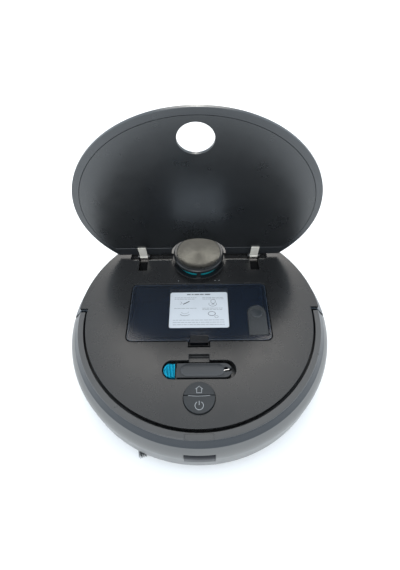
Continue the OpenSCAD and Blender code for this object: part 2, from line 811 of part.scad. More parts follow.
module ir_window() {
    color("#0b0d12") intersection() {
        in_front_of(bumper_y) rotate_extrude() shell_section(ring_r);
        translate([-window_w/2, -body_d, window_z]) cube([window_w, body_d - chassis_r, window_h]);
    }
}

module bumper_springs() {
    color("silver") for (s = [-1, 1]) {
        x = 46;
        y1 = sqrt(chassis_r*chassis_r - pow(x - 3, 2)) + tight;
        y0 = sqrt(pow(body_r - wall, 2) - pow(x + 3, 2)) - 0.8;
        translate([s*x, -y0, 38]) rotate([-90, 0, 0]) difference() {
            cylinder(r = 3, h = y0 - y1);
            translate([0, 0, -eps]) cylinder(r = 2.2, h = y0 - y1 + 2*eps);
        }
    }
}

// ---- dustbin ----

module bin_shell(w, y0, y1, z0, z1, r) {
    translate([0, (y0 + y1)/2, 0]) rounded_plate(w, y1 - y0, z1 - z0, r, z0);
}

module bin_tub() {
    color("#2c3440") difference() {
        bin_shell(tub_w, tub_y0, tub_y1, tub_z, tub_top, 4);
        translate([0, 0, 0]) difference() {
            bin_shell(tub_w - 2*bin_wall, tub_y0 + bin_wall, tub_y1 - bin_wall, tub_z + bin_wall,
                tub_top + eps, 2.5);
            translate([tank_x, tub_y0, tub_z]) cube([bin_wall, tub_y1 - tub_y0, deck_z]);
        }
        translate([-inlet_x, tub_y0 - eps, inlet_z0]) cube([2*inlet_x, bin_wall + 2*eps, inlet_z1 - inlet_z0]);
        translate([-filter_x + 2, tub_y1 - bin_wall - eps, filter_z0 + 2])
            cube([2*filter_x - 4, bin_wall + 2*eps, filter_z1 - filter_z0 - 4]);
    }
}

module bin_seal() {
    color("#16181a") difference() {
        bin_shell(tub_w, tub_y0, tub_y1, tub_top, cover_z, 4);
        bin_shell(tub_w - 2*seal_w, tub_y0 + seal_w, tub_y1 - seal_w, tub_top - eps, cover_z + eps, 2);
    }
}

module bin_cover() {
    color("#1b2434") difference() {
        translate([0, bin_y, 0]) rounded_plate(bin_w, bin_l, cover_t, cover_r, cover_z);
        translate([-latch_w/2 - gap, latch_y0, cover_z - eps])
            cube([latch_w + 2*gap, tub_y0 - 0.6 - latch_y0, cover_t + 2*eps]);
        translate([-latch_w/2 - gap, latch_y0, latch_seat])
            cube([latch_w + 2*gap, latch_y1 - latch_y0 + latch_travel + gap, cover_t]);
        translate([plug_x, 0, plug_floor]) plug_shape(gap, deck_z - plug_floor + eps);
        translate([plug_x, plug_y0 + plug_l - plug_w/2, cover_z - eps]) cylinder(r = stem_r + gap, h = cover_t);
        translate([0, bin_y + 2, 0]) rounded_plate(label_w + 0.2, label_l + 0.2, 1, 3, deck_z - 0.2);
    }
}

module bin_label() {
    color("white") translate([0, bin_y + 2, 0]) rounded_plate(label_w, label_l, 0.3, 3, deck_z - 0.2);
}

// Outline of the water tank's plug, with an arched rear end
module plug_shape(grow, t) {
    r = plug_w/2 + grow;
    translate([-r, plug_y0 - grow, 0]) cube([2*r, plug_l - plug_w/2 + grow, t]);
    translate([0, plug_y0 + plug_l - plug_w/2, 0]) cylinder(r = r, h = t);
}

module water_plug() {
    bead = plug_t/2;
    z = plug_floor + 0.4;
    color("#5c656e") translate([plug_x, 0, 0]) {
        difference() {
            translate([0, 0, z]) plug_shape(0, plug_t);
            translate([-plug_w, plug_y0 - eps, z - eps]) cube([2*plug_w, bead + eps, plug_t + 2*eps]);
        }
        // round front edge, on which the plug turns
        translate([0, plug_y0 + bead, z + bead]) rod_x(bead, -plug_w/2, plug_w/2);
        translate([0, plug_y0 + plug_l - plug_w/2, cover_z - 2]) cylinder(r = stem_r, h = 3.4);
    }
}

module bin_latch() {
    rib = 1;
    color("#121417") difference() {
        union() {
            translate([-latch_w/2, latch_y0, latch_seat + 0.4])
                cube([latch_w, latch_y1 - latch_y0, latch_top - latch_seat - 0.4]);
            translate([-latch_w/2, latch_y0, latch_top - latch_h])
                cube([latch_w, tub_y0 - 1.2 - latch_travel - latch_y0, latch_h]);
        }
        for (y = [latch_y0 + 2:2.4:latch_y1 - 1.5])
            translate([-latch_w/2 + 2, y, latch_top - 0.6]) cube([latch_w - 4, rib, 1]);
    }
}

module filter_frame() {
    y1 = tub_y1 - bin_wall;
    color("#a8a596") difference() {
        translate([-filter_x - 3, y1 - filter_t - 3, filter_z0 - 3])
            cube([2*filter_x + 6, filter_t + 3, filter_z1 - filter_z0 + 6]);
        translate([-filter_x, y1 - filter_t - 1, filter_z0])
            cube([2*filter_x, filter_t + 2, filter_z1 - filter_z0]);
        translate([-filter_x + 3, y1 - filter_t - 4, filter_z0 + 3])
            cube([2*filter_x - 6, 5, filter_z1 - filter_z0 - 6]);
    }
}

module hepa_filter() {
    pleat = 4.4;
    y1 = tub_y1 - bin_wall;
    color("#e6e8e4") difference() {
        translate([-filter_x, y1 - filter_t - 1, filter_z0])
            cube([2*filter_x, filter_t + 0.8, filter_z1 - filter_z0]);
        for (x = [-filter_x + 3:pleat:filter_x - 4])
            translate([x, y1 - filter_t - 2, filter_z0 + 3]) cube([1.4, 6, filter_z1 - filter_z0 - 6]);
    }
}

module inlet_flap() {
    flap_y = tub_y0 + bin_wall + 0.4;
    flap_top = inlet_z1 + 1.8;
    color("#1a1c1e") {
        translate([-inlet_x - 1, flap_y, inlet_z0 - 1]) cube([2*inlet_x + 2, 1, flap_top - inlet_z0 + 1]);
        // round top edge, on which the flap turns
        translate([0, flap_y + 0.5, flap_top]) rod_x(0.8, -inlet_x - 1, inlet_x + 1);
    }
}

// ---- cleaning tool ----

module tool_handle() {
    w = tool_w/2;
    neck = tool_bristle_l + tool_x0;
    color("#33363a") translate([0, -pocket_y, 0]) difference() {
        union() {
            translate([neck, -w, tool_z + 2]) cube([tool_neck_x - neck, 2*w, tool_top - 3 - tool_z]);
            translate([4, 0, 0]) stadium(53, 15.6, 2.5, tool_top - 2.5);
            translate([tool_neck_x, 0, tool_z + 2]) cylinder(r = w, h = tool_top - 3 - tool_z);
        }
        // hook of the hair cutter
        translate([tool_neck_x + 1, -1.5, tool_z]) cube([12, 4, 20]);
        translate([tool_neck_x + 2, 1, tool_z]) cylinder(r = 3, h = 20);
        // slot that the blade is set into
        translate([0, pocket_y, 0]) blade_shape(tight);
    }
}

module blade_shape(grow) {
    translate([tool_neck_x - 1.6, -pocket_y - 1.2, tool_z + 6]) rotate(12)
        translate([-grow, -grow, -grow]) cube([8 + 2*grow, 0.6 + 2*grow, 5 + 2*grow]);
}

module tool_blade() {
    color("silver") blade_shape(0);
}

module tool_bristles() {
    color("#10b4dc") intersection() {
        translate([tool_x0, -pocket_y - tool_w/2, tool_z + 1.5])
            cube([tool_bristle_l, tool_w, tool_top - tool_z - 3]);
        translate([0, -pocket_y, 0]) stadium(pocket_l - 3, pocket_w - 3, deck_z, 0);
    }
}

// ---- buttons ----

module button_body() {
    translate([0, -button_y, key_z]) cylinder(r = button_r + button_flange, h = 2.4);
    translate([0, -button_y, key_z]) cylinder(r = button_r, h = button_top - key_z);
}

module home_button() {
    color("#3a3d40") behind(-button_y + button_split + button_slit/2) button_body();
}

module power_button() {
    color("#3a3d40") in_front_of(-button_y + button_split - button_slit/2) button_body();
}

// ---- electronics and power ----

module main_board() {
    color("#1d5c34") {
        translate([-board_w/2, board_y0, board_z]) cube([board_w, board_y1 - board_y0, 1.6]);
        // processor, connector and capacitors
        translate([-12, -128, board_z + 1.6]) cube([22, 22, 2]);
        translate([20, -140, board_z + 1.6]) cube([20, 6, 6]);
        for (x = [-38, -28]) translate([x, -136, board_z + 1.6]) cylinder(r = 3.5, h = 8);
        // switch under each half of the button, a travel below it
        for (s = [-1, 1]) translate([-switch_w/2, -button_y + 9*s - switch_w/2, board_z])
            cube([switch_w, switch_w, key_z - button_travel - tight - board_z]);
    }
}

module battery_pack() {
    color("#2d4a7a") translate([-battery_x, battery_y0, floor_z])
        cube([2*battery_x, battery_y1 - battery_y0, battery_z1 - floor_z]);
}

module battery_cover() {
    color("#2f3337") translate([0, (battery_y0 + battery_y1)/2, 0]) difference() {
        rounded_plate(2*(battery_x + hatch_margin) - 2*tight, battery_y1 - battery_y0 + 3 - 2*tight,
            hatch_t, 4 - tight, bottom_z);
        for (x = [-20, 20]) translate([x, 30, bottom_z - eps]) cylinder(r = 3, h = 1.2 + eps);
    }
}

module main_brush_gearbox() {
    x0 = cavity_x1 + cavity_wall;
    color("#26292c") difference() {
        union() {
            translate([x0, -roller_y - 15, roller_z - 5]) cube([brush_gearbox_t, 30, 26]);
            translate([0, -roller_y, roller_z]) rod_x(coupling_r, cavity_x1 - 2, x0 + 1);
            translate([x0 - 14, -roller_y - 13, roller_z + cavity_r + 4]) cube([20, 26, 10]);
            translate([x0, -roller_y - 13, roller_z + 15]) cube([brush_gearbox_t - 1, 26, cavity_r]);
        }
        translate([0, -roller_y, roller_z]) rod_x(stub_r + run, cavity_x1 - 3, cavity_x1 + 1);
    }
}

module side_brush_motor() {
    color("#c9ccd0") translate([-side_x, -side_y, 0]) {
        translate([0, 0, floor_z]) cylinder(r = side_motor_r, h = 26);
        translate([0, 0, side_hub_z0 + 2]) cylinder(r = side_shaft_r, h = floor_z - side_hub_z0);
    }
}

module fan_housing() {
    duct_x0 = fan_x - duct_w/2;
    color("#2a2d31") difference() {
        union() {
            translate([fan_x, fan_y, fan_z0]) cylinder(r = fan_r, h = fan_z1 - fan_z0);
            translate([duct_x0, bay_y1 + bay_wall, fan_z1 - eps])
                cube([duct_w, fan_y - bay_y1 - bay_wall + 14, duct_z1 - fan_z1 + eps]);
            translate([grille_x - grille_w/2, fan_y, grille_z0])
                cube([grille_w, chassis_r - wall - 9 - fan_y, grille_z1 - grille_z0]);
        }
        translate([fan_x, fan_y, fan_z0 + fan_wall])
            cylinder(r = fan_r - fan_wall, h = fan_z1 - fan_z0 - 2*fan_wall);
        translate([duct_x0 + fan_wall, bay_y1, fan_z1 + fan_wall])
            cube([duct_w - 2*fan_wall, fan_y - bay_y1 + 12, duct_z1 - fan_z1 - 2*fan_wall]);
        translate([fan_x, fan_y, fan_z1 - 4]) cylinder(r = 11, h = 8);
        translate([grille_x - grille_w/2 + fan_wall, fan_y + 6, grille_z0 + fan_wall])
            cube([grille_w - 2*fan_wall, body_d, grille_z1 - grille_z0 - 2*fan_wall]);
    }
}

module fan_motor() {
    z0 = fan_z0 + fan_wall;
    color("silver") translate([fan_x, fan_y, z0]) {
        cylinder(r = 17, h = 13);
        cylinder(r = 2, h = 24);
    }
}

module fan_impeller() {
    z0 = fan_z0 + fan_wall + 14.5;
    color("#dfe3e6") translate([fan_x, fan_y, z0]) difference() {
        union() {
            cylinder(r = 24, h = 1.6);
            cylinder(r = 5, h = 10);
            for (a = [0:30:330]) rotate(a) translate([4, -0.6, 0.8]) cube([18, 1.2, 9]);
        }
        translate([0, 0, -eps]) cylinder(r = 2 + run, h = 20);
    }
}

// ---- wheels ----

module gearbox() {
    color("#26292c") {
        difference() {
            union() {
                translate([0, wheel_y, wheel_z]) rod_x(arm_hub_r, gearbox_x0, gearbox_x1);
                translate([0, pivot_y, pivot_z]) rod_x(arm_pivot_r, gearbox_x0, gearbox_x1);
                translate([gearbox_x0, pivot_y, wheel_z - 8]) cube([gearbox_t, wheel_y - pivot_y, 18]);
                translate([gearbox_x0, wheel_y - 6, wheel_z]) cube([gearbox_t, 12, arm_hub_r]);
                translate([0, wheel_y, wheel_z]) rod_x(axle_r, gearbox_x0 + 1, wheel_x1 - 3);
            }
            translate([0, pivot_y, pivot_z]) rod_x(pivot_r + run, gearbox_x0 - 1, gearbox_x1 - 0.5);
        }
        // motor
        translate([0, pivot_y, pivot_z]) rod_x(arm_pivot_r - 0.5, gearbox_x1, wheel_x1);
    }
}

module wheel_hub() {
    color("#3b3f43") translate([0, wheel_y, wheel_z]) difference() {
        rod_x(hub_r, wheel_x0 + 0.5, wheel_x1 - 0.5);
        rod_x(axle_r + run, wheel_x0 - 1, wheel_x1 - 2.5);
        difference() {
            rod_x(hub_r - 3, wheel_x1 - 4, wheel_x1 + 1);
            rod_x(8, wheel_x1 - 5, wheel_x1 + 2);
            for (a = [0:60:300]) rotate([a, 0, 0])
                translate([wheel_x1 - 5, -1.5, 0]) cube([6, 3, hub_r]);
        }
    }
}

module wheel_tyre() {
    color("#18191b") translate([0, wheel_y, wheel_z]) difference() {
        rod_x(wheel_d/2, wheel_x0, wheel_x1);
        rod_x(hub_r, wheel_x0 - 1, wheel_x1 + 1);
    }
}

module suspension_spring() {
    color("silver") translate([gearbox_x0 + gearbox_t/2, wheel_y, spring_seat_z]) difference() {
        cylinder(r = spring_r, h = spring_top_z - spring_seat_z);
        translate([0, 0, -eps]) cylinder(r = spring_r - spring_wire, h = 20);
    }
}

module caster_fork() {
    ear_x = caster_wheel_w/2 + 0.8;
    color("#2a2d30") difference() {
        union() {
            translate([0, -caster_y, caster_roof - 4]) cylinder(r = caster_recess_r - 2, h = 3.5);
            translate([0, -caster_y, caster_roof - 1])
                cylinder(r = caster_stem_r, h = caster_stem_top - caster_roof);
            for (s = [-1, 1]) translate([s*(ear_x + 1.2) - 1.2, -caster_y + caster_trail - 5, caster_z - 4])
                cube([2.4, 10, caster_roof - caster_z + 2]);
            translate([0, -caster_y + caster_trail, caster_z]) rod_x(pin_r, -ear_x - 1, ear_x + 1);
        }
    }
}

module caster_wheel() {
    color("#e8e8e4") translate([0, -caster_y + caster_trail, caster_z]) difference() {
        rod_x(caster_z, -caster_wheel_w/2, caster_wheel_w/2);
        rod_x(pin_r + run, -caster_wheel_w, caster_wheel_w);
    }
}

// ---- brushes ----

module roller_core() {
    color("#3a3f44") translate([0, -roller_y, roller_z]) {
        rod_x(core_r, roller_x0 - 1, roller_x1 + 1);
        rod_x(stub_r, cavity_x0 - 1.5, cavity_x1);
    }
}

module roller_bristles() {
    color("#1e6f8e") translate([0, -roller_y, roller_z]) difference() {
        rod_x(roller_r, roller_x0, roller_x1);
        rod_x(core_r, roller_x0 - 1, roller_x1 + 1);
    }
}

module brush_guard() {
    t = 3.3;
    z = bottom_z - t;
    x0 = cavity_x0 - 4;
    x1 = cavity_x1 + 4;
    y0 = -roller_y - cavity_r - 3;
    y1 = -roller_y + cavity_r + 3;
    color("#202326") difference() {
        translate([(x0 + x1)/2, (y0 + y1)/2, 0]) rounded_plate(x1 - x0, y1 - y0, t, 5, z);
        translate([cavity_x0, -roller_y - cavity_r + 1, z - eps])
            cube([cavity_x1 - cavity_x0, 2*cavity_r - 2, t + 2*eps]);
    }
}

module side_brush_hub() {
    color("#34383c") translate([-side_x, -side_y, 0]) difference() {
        union() {
            translate([0, 0, side_hub_z0]) cylinder(r = side_hub_r, h = side_hub_z1 - side_hub_z0);
            for (i = [0:2]) rotate(side_angle + 120*i)
                translate([0, -4, side_hub_z0]) cube([26, 8, 3.5]);
        }
        translate([0, 0, side_hub_z0 + 1.5]) cylinder(r = side_shaft_r + run, h = 20);
    }
}

module side_brush_bristles() {
    color("#c9cdd2") translate([-side_x, -side_y, 0]) for (i = [0:2]) rotate(side_angle + 120*i)
        translate([20, -2, bristle_z]) cube([side_l - 20, 4, side_hub_z0 - bristle_z]);
}

chassis_tub();
rear_shell();
top_deck();
turret_cage();
turret_cap_disc();
lidar_base();
lidar_motor();
lidar_belt();
main_board();
battery_pack();
battery_cover();
bottom_screws();
exhaust_grille();
fan_housing();
fan_motor();
main_brush_gearbox();
side_brush_motor();
cliff_sensor_windows();
charging_contacts();
hinge_pins();
brush_guard();
mirror([1, 0, 0]) suspension_spring();  // suspension_spring_left
suspension_spring();  // suspension_spring_right
bumper_springs();
lid_panel();
lid_liner();
hinge_arms();
bumper_shell();
bumper_top_ring();
ring_insert();
ir_window();
lidar_rotor();
lidar_pulley();
bin_tub();
bin_seal();
bin_cover();
bin_label();
filter_frame();
hepa_filter();
bin_latch();
water_plug();
inlet_flap();
tool_handle();
tool_bristles();
tool_blade();
home_button();
power_button();
mirror([1, 0, 0]) gearbox();  // wheel_gearbox_left
gearbox();  // wheel_gearbox_right
mirror([1, 0, 0]) wheel_hub();  // wheel_hub_left
wheel_hub();  // wheel_hub_right
mirror([1, 0, 0]) wheel_tyre();  // wheel_tyre_left
wheel_tyre();  // wheel_tyre_right
caster_fork();
caster_wheel();
roller_core();
roller_bristles();
side_brush_hub();
side_brush_bristles();
fan_impeller();
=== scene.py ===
import json
import math
import random

import bpy
from mathutils import Matrix, Vector

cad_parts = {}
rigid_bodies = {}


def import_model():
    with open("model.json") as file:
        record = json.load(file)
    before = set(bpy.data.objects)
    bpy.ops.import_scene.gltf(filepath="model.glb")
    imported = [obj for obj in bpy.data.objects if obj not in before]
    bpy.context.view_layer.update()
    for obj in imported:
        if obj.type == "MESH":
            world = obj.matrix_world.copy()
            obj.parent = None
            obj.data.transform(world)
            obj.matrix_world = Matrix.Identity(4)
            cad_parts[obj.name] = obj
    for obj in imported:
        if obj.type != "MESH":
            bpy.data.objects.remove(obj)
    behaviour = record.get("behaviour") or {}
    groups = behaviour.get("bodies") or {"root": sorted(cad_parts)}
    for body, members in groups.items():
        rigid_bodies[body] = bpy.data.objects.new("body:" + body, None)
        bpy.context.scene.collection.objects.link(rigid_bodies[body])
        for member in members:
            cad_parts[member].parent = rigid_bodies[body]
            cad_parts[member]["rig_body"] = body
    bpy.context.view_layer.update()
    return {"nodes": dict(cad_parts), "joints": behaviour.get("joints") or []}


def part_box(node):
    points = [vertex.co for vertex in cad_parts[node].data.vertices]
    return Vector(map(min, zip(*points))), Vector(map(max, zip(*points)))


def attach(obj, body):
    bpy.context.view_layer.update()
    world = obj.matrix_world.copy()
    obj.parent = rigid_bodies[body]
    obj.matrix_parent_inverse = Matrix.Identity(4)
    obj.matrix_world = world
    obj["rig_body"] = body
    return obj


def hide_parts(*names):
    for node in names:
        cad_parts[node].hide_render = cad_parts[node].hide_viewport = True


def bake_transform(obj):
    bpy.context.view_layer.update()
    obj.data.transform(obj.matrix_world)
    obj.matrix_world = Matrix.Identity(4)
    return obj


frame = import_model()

MM = 0.001


# ---- Camera, floor and light ----
# The camera stands in front of the robot and above it. The floor is pale and plain, and the
# light is a bright pale surround, four soft panels and a small lamp high behind.
bpy.ops.object.camera_add(location=(4.94 * MM, -252.1 * MM, 477.74 * MM))
camera = bpy.context.object
camera.rotation_euler = (
    Matrix.Rotation(math.radians(0.63), 3, "Z")
    @ Matrix.Rotation(math.radians(37.07), 3, "X")
    @ Matrix.Rotation(math.radians(-1.11), 3, "Z")
).to_euler()
camera.data.sensor_width = 36
camera.data.lens = 22.2
camera.data.shift_y = -0.0054
camera.data.clip_start = 0.01
bpy.context.scene.camera = camera
bpy.context.scene.view_settings.view_transform = "Standard"

bpy.ops.mesh.primitive_plane_add(size=12)
floor = bpy.context.object
floor.name = "floor"
floor_paint = bpy.data.materials.new("floor_paint")
floor_paint.use_nodes = True
paint = floor_paint.node_tree.nodes["Principled BSDF"]
paint.inputs["Base Color"].default_value = (0.93, 0.92, 0.91, 1)
paint.inputs["Roughness"].default_value = 0.7
paint.inputs["Specular IOR Level"].default_value = 0.2
floor.data.materials.append(floor_paint)

surround = bpy.data.worlds.new("surround")
bpy.context.scene.world = surround
surround.use_nodes = True
sky = surround.node_tree.nodes["Background"]
sky.inputs["Color"].default_value = (0.85, 0.93, 1.0, 1)
sky.inputs["Strength"].default_value = 1.25


def panel_light(name, place, aim, size, watts, colour):
    """A square soft light that hangs at place and points at aim."""
    bpy.ops.object.light_add(type="AREA", location=place)
    lamp = bpy.context.object
    lamp.name = name
    lamp.rotation_euler = (Vector(aim) - Vector(place)).to_track_quat("-Z", "Y").to_euler()
    lamp.data.size = size
    lamp.data.energy = watts
    lamp.data.color = colour


panel_light("rear_panel", (0.0, 1.5, 2.1), (0, -0.05, 0.08), 1.5, 22, (1.0, 0.92, 0.84))
panel_light("high_lamp", (0.0, 1.1, 1.5), (0, 0.09, 0.1), 0.16, 3, (1.0, 0.97, 0.9))
panel_light("front_panel", (-0.3, -1.5, 1.2), (0, 0, 0.1), 0.9, 10, (0.95, 0.97, 1.0))
panel_light("left_panel", (-1.5, 0.1, 0.9), (0, 0, 0.1), 1.6, 9, (0.8, 0.9, 1.0))
panel_light("right_panel", (1.5, 0.1, 0.9), (0, 0, 0.1), 1.6, 9, (0.8, 0.9, 1.0))


# ---- Chassis tub and what is let into its underside ----
# One deep moulding of black ABS that carries everything else: wells for the wheels, a tunnel
# for the main brush, a bay for the dustbin. The grain is spark-eroded into the mould.
def moulded(name, deep, pale, rough, grain=1100, depth=0.03 * MM, patch=9, shine=0.5):
    """Moulded plastic: two close tones in large patches, a fine even grain, and gloss that is
    uneven where the mould and hands have polished it."""
    material = bpy.data.materials.new(name)
    material.use_nodes = True
    nodes, links = material.node_tree.nodes, material.node_tree.links
    shader = nodes["Principled BSDF"]
    shader.inputs["Specular IOR Level"].default_value = shine
    place = nodes.new("ShaderNodeTexCoord")
    patches = nodes.new("ShaderNodeTexNoise")
    patches.inputs["Scale"].default_value = patch
    patches.inputs["Detail"].default_value = 3
    links.new(place.outputs["Object"], patches.inputs["Vector"])
    tone = nodes.new("ShaderNodeValToRGB")
    tone.name = "tone"
    tone.color_ramp.elements[0].position = 0.3
    tone.color_ramp.elements[0].color = (*deep, 1)
    tone.color_ramp.elements[1].position = 0.7
    tone.color_ramp.elements[1].color = (*pale, 1)
    links.new(patches.outputs["Fac"], tone.inputs["Fac"])
    links.new(tone.outputs["Color"], shader.inputs["Base Color"])
    smudges = nodes.new("ShaderNodeTexNoise")
    smudges.inputs["Scale"].default_value = patch * 5
    smudges.inputs["Detail"].default_value = 5
    smudges.inputs["Roughness"].default_value = 0.6
    links.new(place.outputs["Object"], smudges.inputs["Vector"])
    gloss = nodes.new("ShaderNodeMapRange")
    gloss.inputs["From Min"].default_value = 0.3
    gloss.inputs["From Max"].default_value = 0.7
    gloss.inputs["To Min"].default_value = rough * 0.9
    gloss.inputs["To Max"].default_value = rough * 1.12
    links.new(smudges.outputs["Fac"], gloss.inputs["Value"])
    links.new(gloss.outputs["Result"], shader.inputs["Roughness"])
    texture = nodes.new("ShaderNodeTexNoise")
    texture.inputs["Scale"].default_value = grain
    texture.inputs["Detail"].default_value = 2
    links.new(place.outputs["Object"], texture.inputs["Vector"])
    bump = nodes.new("ShaderNodeBump")
    bump.name = "grain"
    bump.inputs["Strength"].default_value = 0.5
    bump.inputs["Distance"].default_value = depth
    links.new(texture.outputs["Fac"], bump.inputs["Height"])
    links.new(bump.outputs["Normal"], shader.inputs["Normal"])
    return material


def finish_of(material):
    """The main shader of a material, whose sockets hold what is the same all over."""
    return material.node_tree.nodes["Principled BSDF"].inputs


def wear(material, *names):
    """Gives CAD nodes this material."""
    for name in names:
        node = frame["nodes"][name]
        node.data.materials.clear()
        node.data.materials.append(material)


def edit_all(piece):
    """Opens one piece for editing, with its whole mesh selected and nothing else."""
    bpy.ops.object.select_all(action="DESELECT")
    piece.select_set(True)
    bpy.context.view_layer.objects.active = piece
    bpy.ops.object.mode_set(mode="EDIT")
    bpy.ops.mesh.select_all(action="SELECT")


def even_shading(piece, angle=35):
    """Smooth shading inside the given angle, led by the larger faces."""
    bpy.ops.object.mode_set(mode="OBJECT")
    bpy.ops.object.shade_smooth_by_angle(angle=math.radians(angle))
    weighted = piece.modifiers.new("weighted", "WEIGHTED_NORMAL")
    weighted.keep_sharp = True
    bpy.ops.object.modifier_apply(modifier=weighted.name)


def rounded(name, width, material, segments=2):
    """A piece in place of a CAD node, with its sharp edges rounded by width as a mould does."""
    node = frame["nodes"][name]
    piece = bpy.data.objects.new(name + "_moulding", node.data.copy())
    bpy.context.collection.objects.link(piece)
    edit_all(piece)
    bpy.ops.mesh.customdata_custom_splitnormals_clear()
    bpy.ops.mesh.remove_doubles(threshold=0.005 * MM)
    bpy.ops.mesh.dissolve_limited(angle_limit=math.radians(0.5))
    bpy.ops.mesh.select_all(action="DESELECT")
    bpy.ops.mesh.select_mode(type="EDGE")
    bpy.ops.mesh.edges_select_sharp(sharpness=math.radians(35))
    bpy.ops.mesh.bevel(offset=width, segments=segments, profile=0.5, clamp_overlap=False)
    even_shading(piece)
    piece.data.materials.clear()
    piece.data.materials.append(material)
    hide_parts(name)
    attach(piece, node["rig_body"])
    return piece


chassis_black = moulded("chassis_black", (0.014, 0.015, 0.017), (0.021, 0.022, 0.024), 0.5)
wear(chassis_black, "chassis_tub", "fan_housing", "lidar_base", "caster_fork")
rounded("battery_cover", 0.3 * MM, chassis_black)
rounded("brush_guard", 0.4 * MM, chassis_black)
rounded("exhaust_grille", 0.25 * MM, chassis_black)

gearbox_black = moulded("gearbox_black", (0.028, 0.03, 0.033), (0.036, 0.038, 0.041), 0.4)
for name in ("wheel_gearbox_left", "wheel_gearbox_right", "main_brush_gearbox"):
    rounded(name, 0.4 * MM, gearbox_black)

screw_steel = moulded("screw_steel", (0.45, 0.45, 0.46), (0.55, 0.55, 0.55), 0.28, patch=200)
finish_of(screw_steel)["Metallic"].default_value = 1
wear(screw_steel, "bottom_screws", "hinge_pins")

window_glass = moulded("window_glass", (0.008, 0.007, 0.011), (0.011, 0.01, 0.015), 0.07,
                       depth=0.001 * MM)
finish_of(window_glass)["Coat Weight"].default_value = 0.4
wear(window_glass, "cliff_sensor_windows")
dock_glass = moulded("dock_glass", (0.004, 0.005, 0.008), (0.006, 0.007, 0.011), 0.3,
                     depth=0.001 * MM, shine=0.1)
wear(dock_glass, "ir_window")

contact_brass = moulded("contact_brass", (0.72, 0.52, 0.27), (0.8, 0.6, 0.33), 0.25, grain=400, patch=60)
finish_of(contact_brass)["Metallic"].default_value = 1
wear(contact_brass, "charging_contacts")


# ---- Coil springs ----
# Two springs push the wheel arms down and two hold the bumper forward. Each is hard-drawn
# steel wire, wound from one ring section with a screw turn.
spring_steel = moulded("spring_steel", (0.5, 0.5, 0.5), (0.62, 0.61, 0.6), 0.25, grain=3000, patch=300)
finish_of(spring_steel)["Metallic"].default_value = 1
TURNS, STEPS_A_TURN, WIRE_SIDES = 5, 24, 10
SUSPENSION_WIRE, BUMPER_WIRE = 1.1 * MM, 0.8 * MM


def coil(name, foot, turn, length, radius, wire):
    """A coil spring from foot along +Z, then turned into place."""
    bpy.ops.mesh.primitive_circle_add(
        vertices=WIRE_SIDES, radius=wire / 2, location=(radius - wire / 2, 0, wire / 2),
        rotation=(math.pi / 2, 0, 0),
    )
    piece = bpy.context.object
    piece.name = name
    bpy.ops.object.transform_apply()
    winding = piece.modifiers.new("winding", "SCREW")
    winding.axis = "Z"
    winding.iterations = TURNS
    winding.screw_offset = (length - wire) / TURNS
    winding.steps = winding.render_steps = STEPS_A_TURN
    bpy.ops.object.modifier_apply(modifier=winding.name)
    edit_all(piece)
    bpy.ops.mesh.select_non_manifold()
    bpy.ops.mesh.fill_holes(sides=WIRE_SIDES + 2)
    bpy.ops.mesh.select_all(action="SELECT")
    bpy.ops.mesh.normals_make_consistent(inside=False)
    bpy.ops.mesh.faces_shade_smooth()
    bpy.ops.object.mode_set(mode="OBJECT")
    piece.rotation_euler = turn
    piece.location = foot
    bpy.ops.object.transform_apply()
    piece.data.materials.append(spring_steel)
    return piece


for side in ("left", "right"):
    low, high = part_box("suspension_spring_" + side)
    middle = (low + high) / 2
    foot, top = (middle.x, middle.y, low.z), (middle.x, middle.y, high.z)
    spring = coil("suspension_coil_" + side, foot, (0, 0, 0), high.z - low.z,
                  (high.x - low.x) / 2, SUSPENSION_WIRE)
    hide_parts("suspension_spring_" + side)
    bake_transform(spring)

low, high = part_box("bumper_springs")
spring_radius = (high.z - low.z) / 2
for side, x in (("left", low.x + spring_radius), ("right", high.x - spring_radius)):
    spring = coil("bumper_coil_" + side, (x, high.y, (low.z + high.z) / 2), (math.pi / 2, 0, 0),
                  high.y - low.y, spring_radius, BUMPER_WIRE)
    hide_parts("bumper_springs")
    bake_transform(spring)


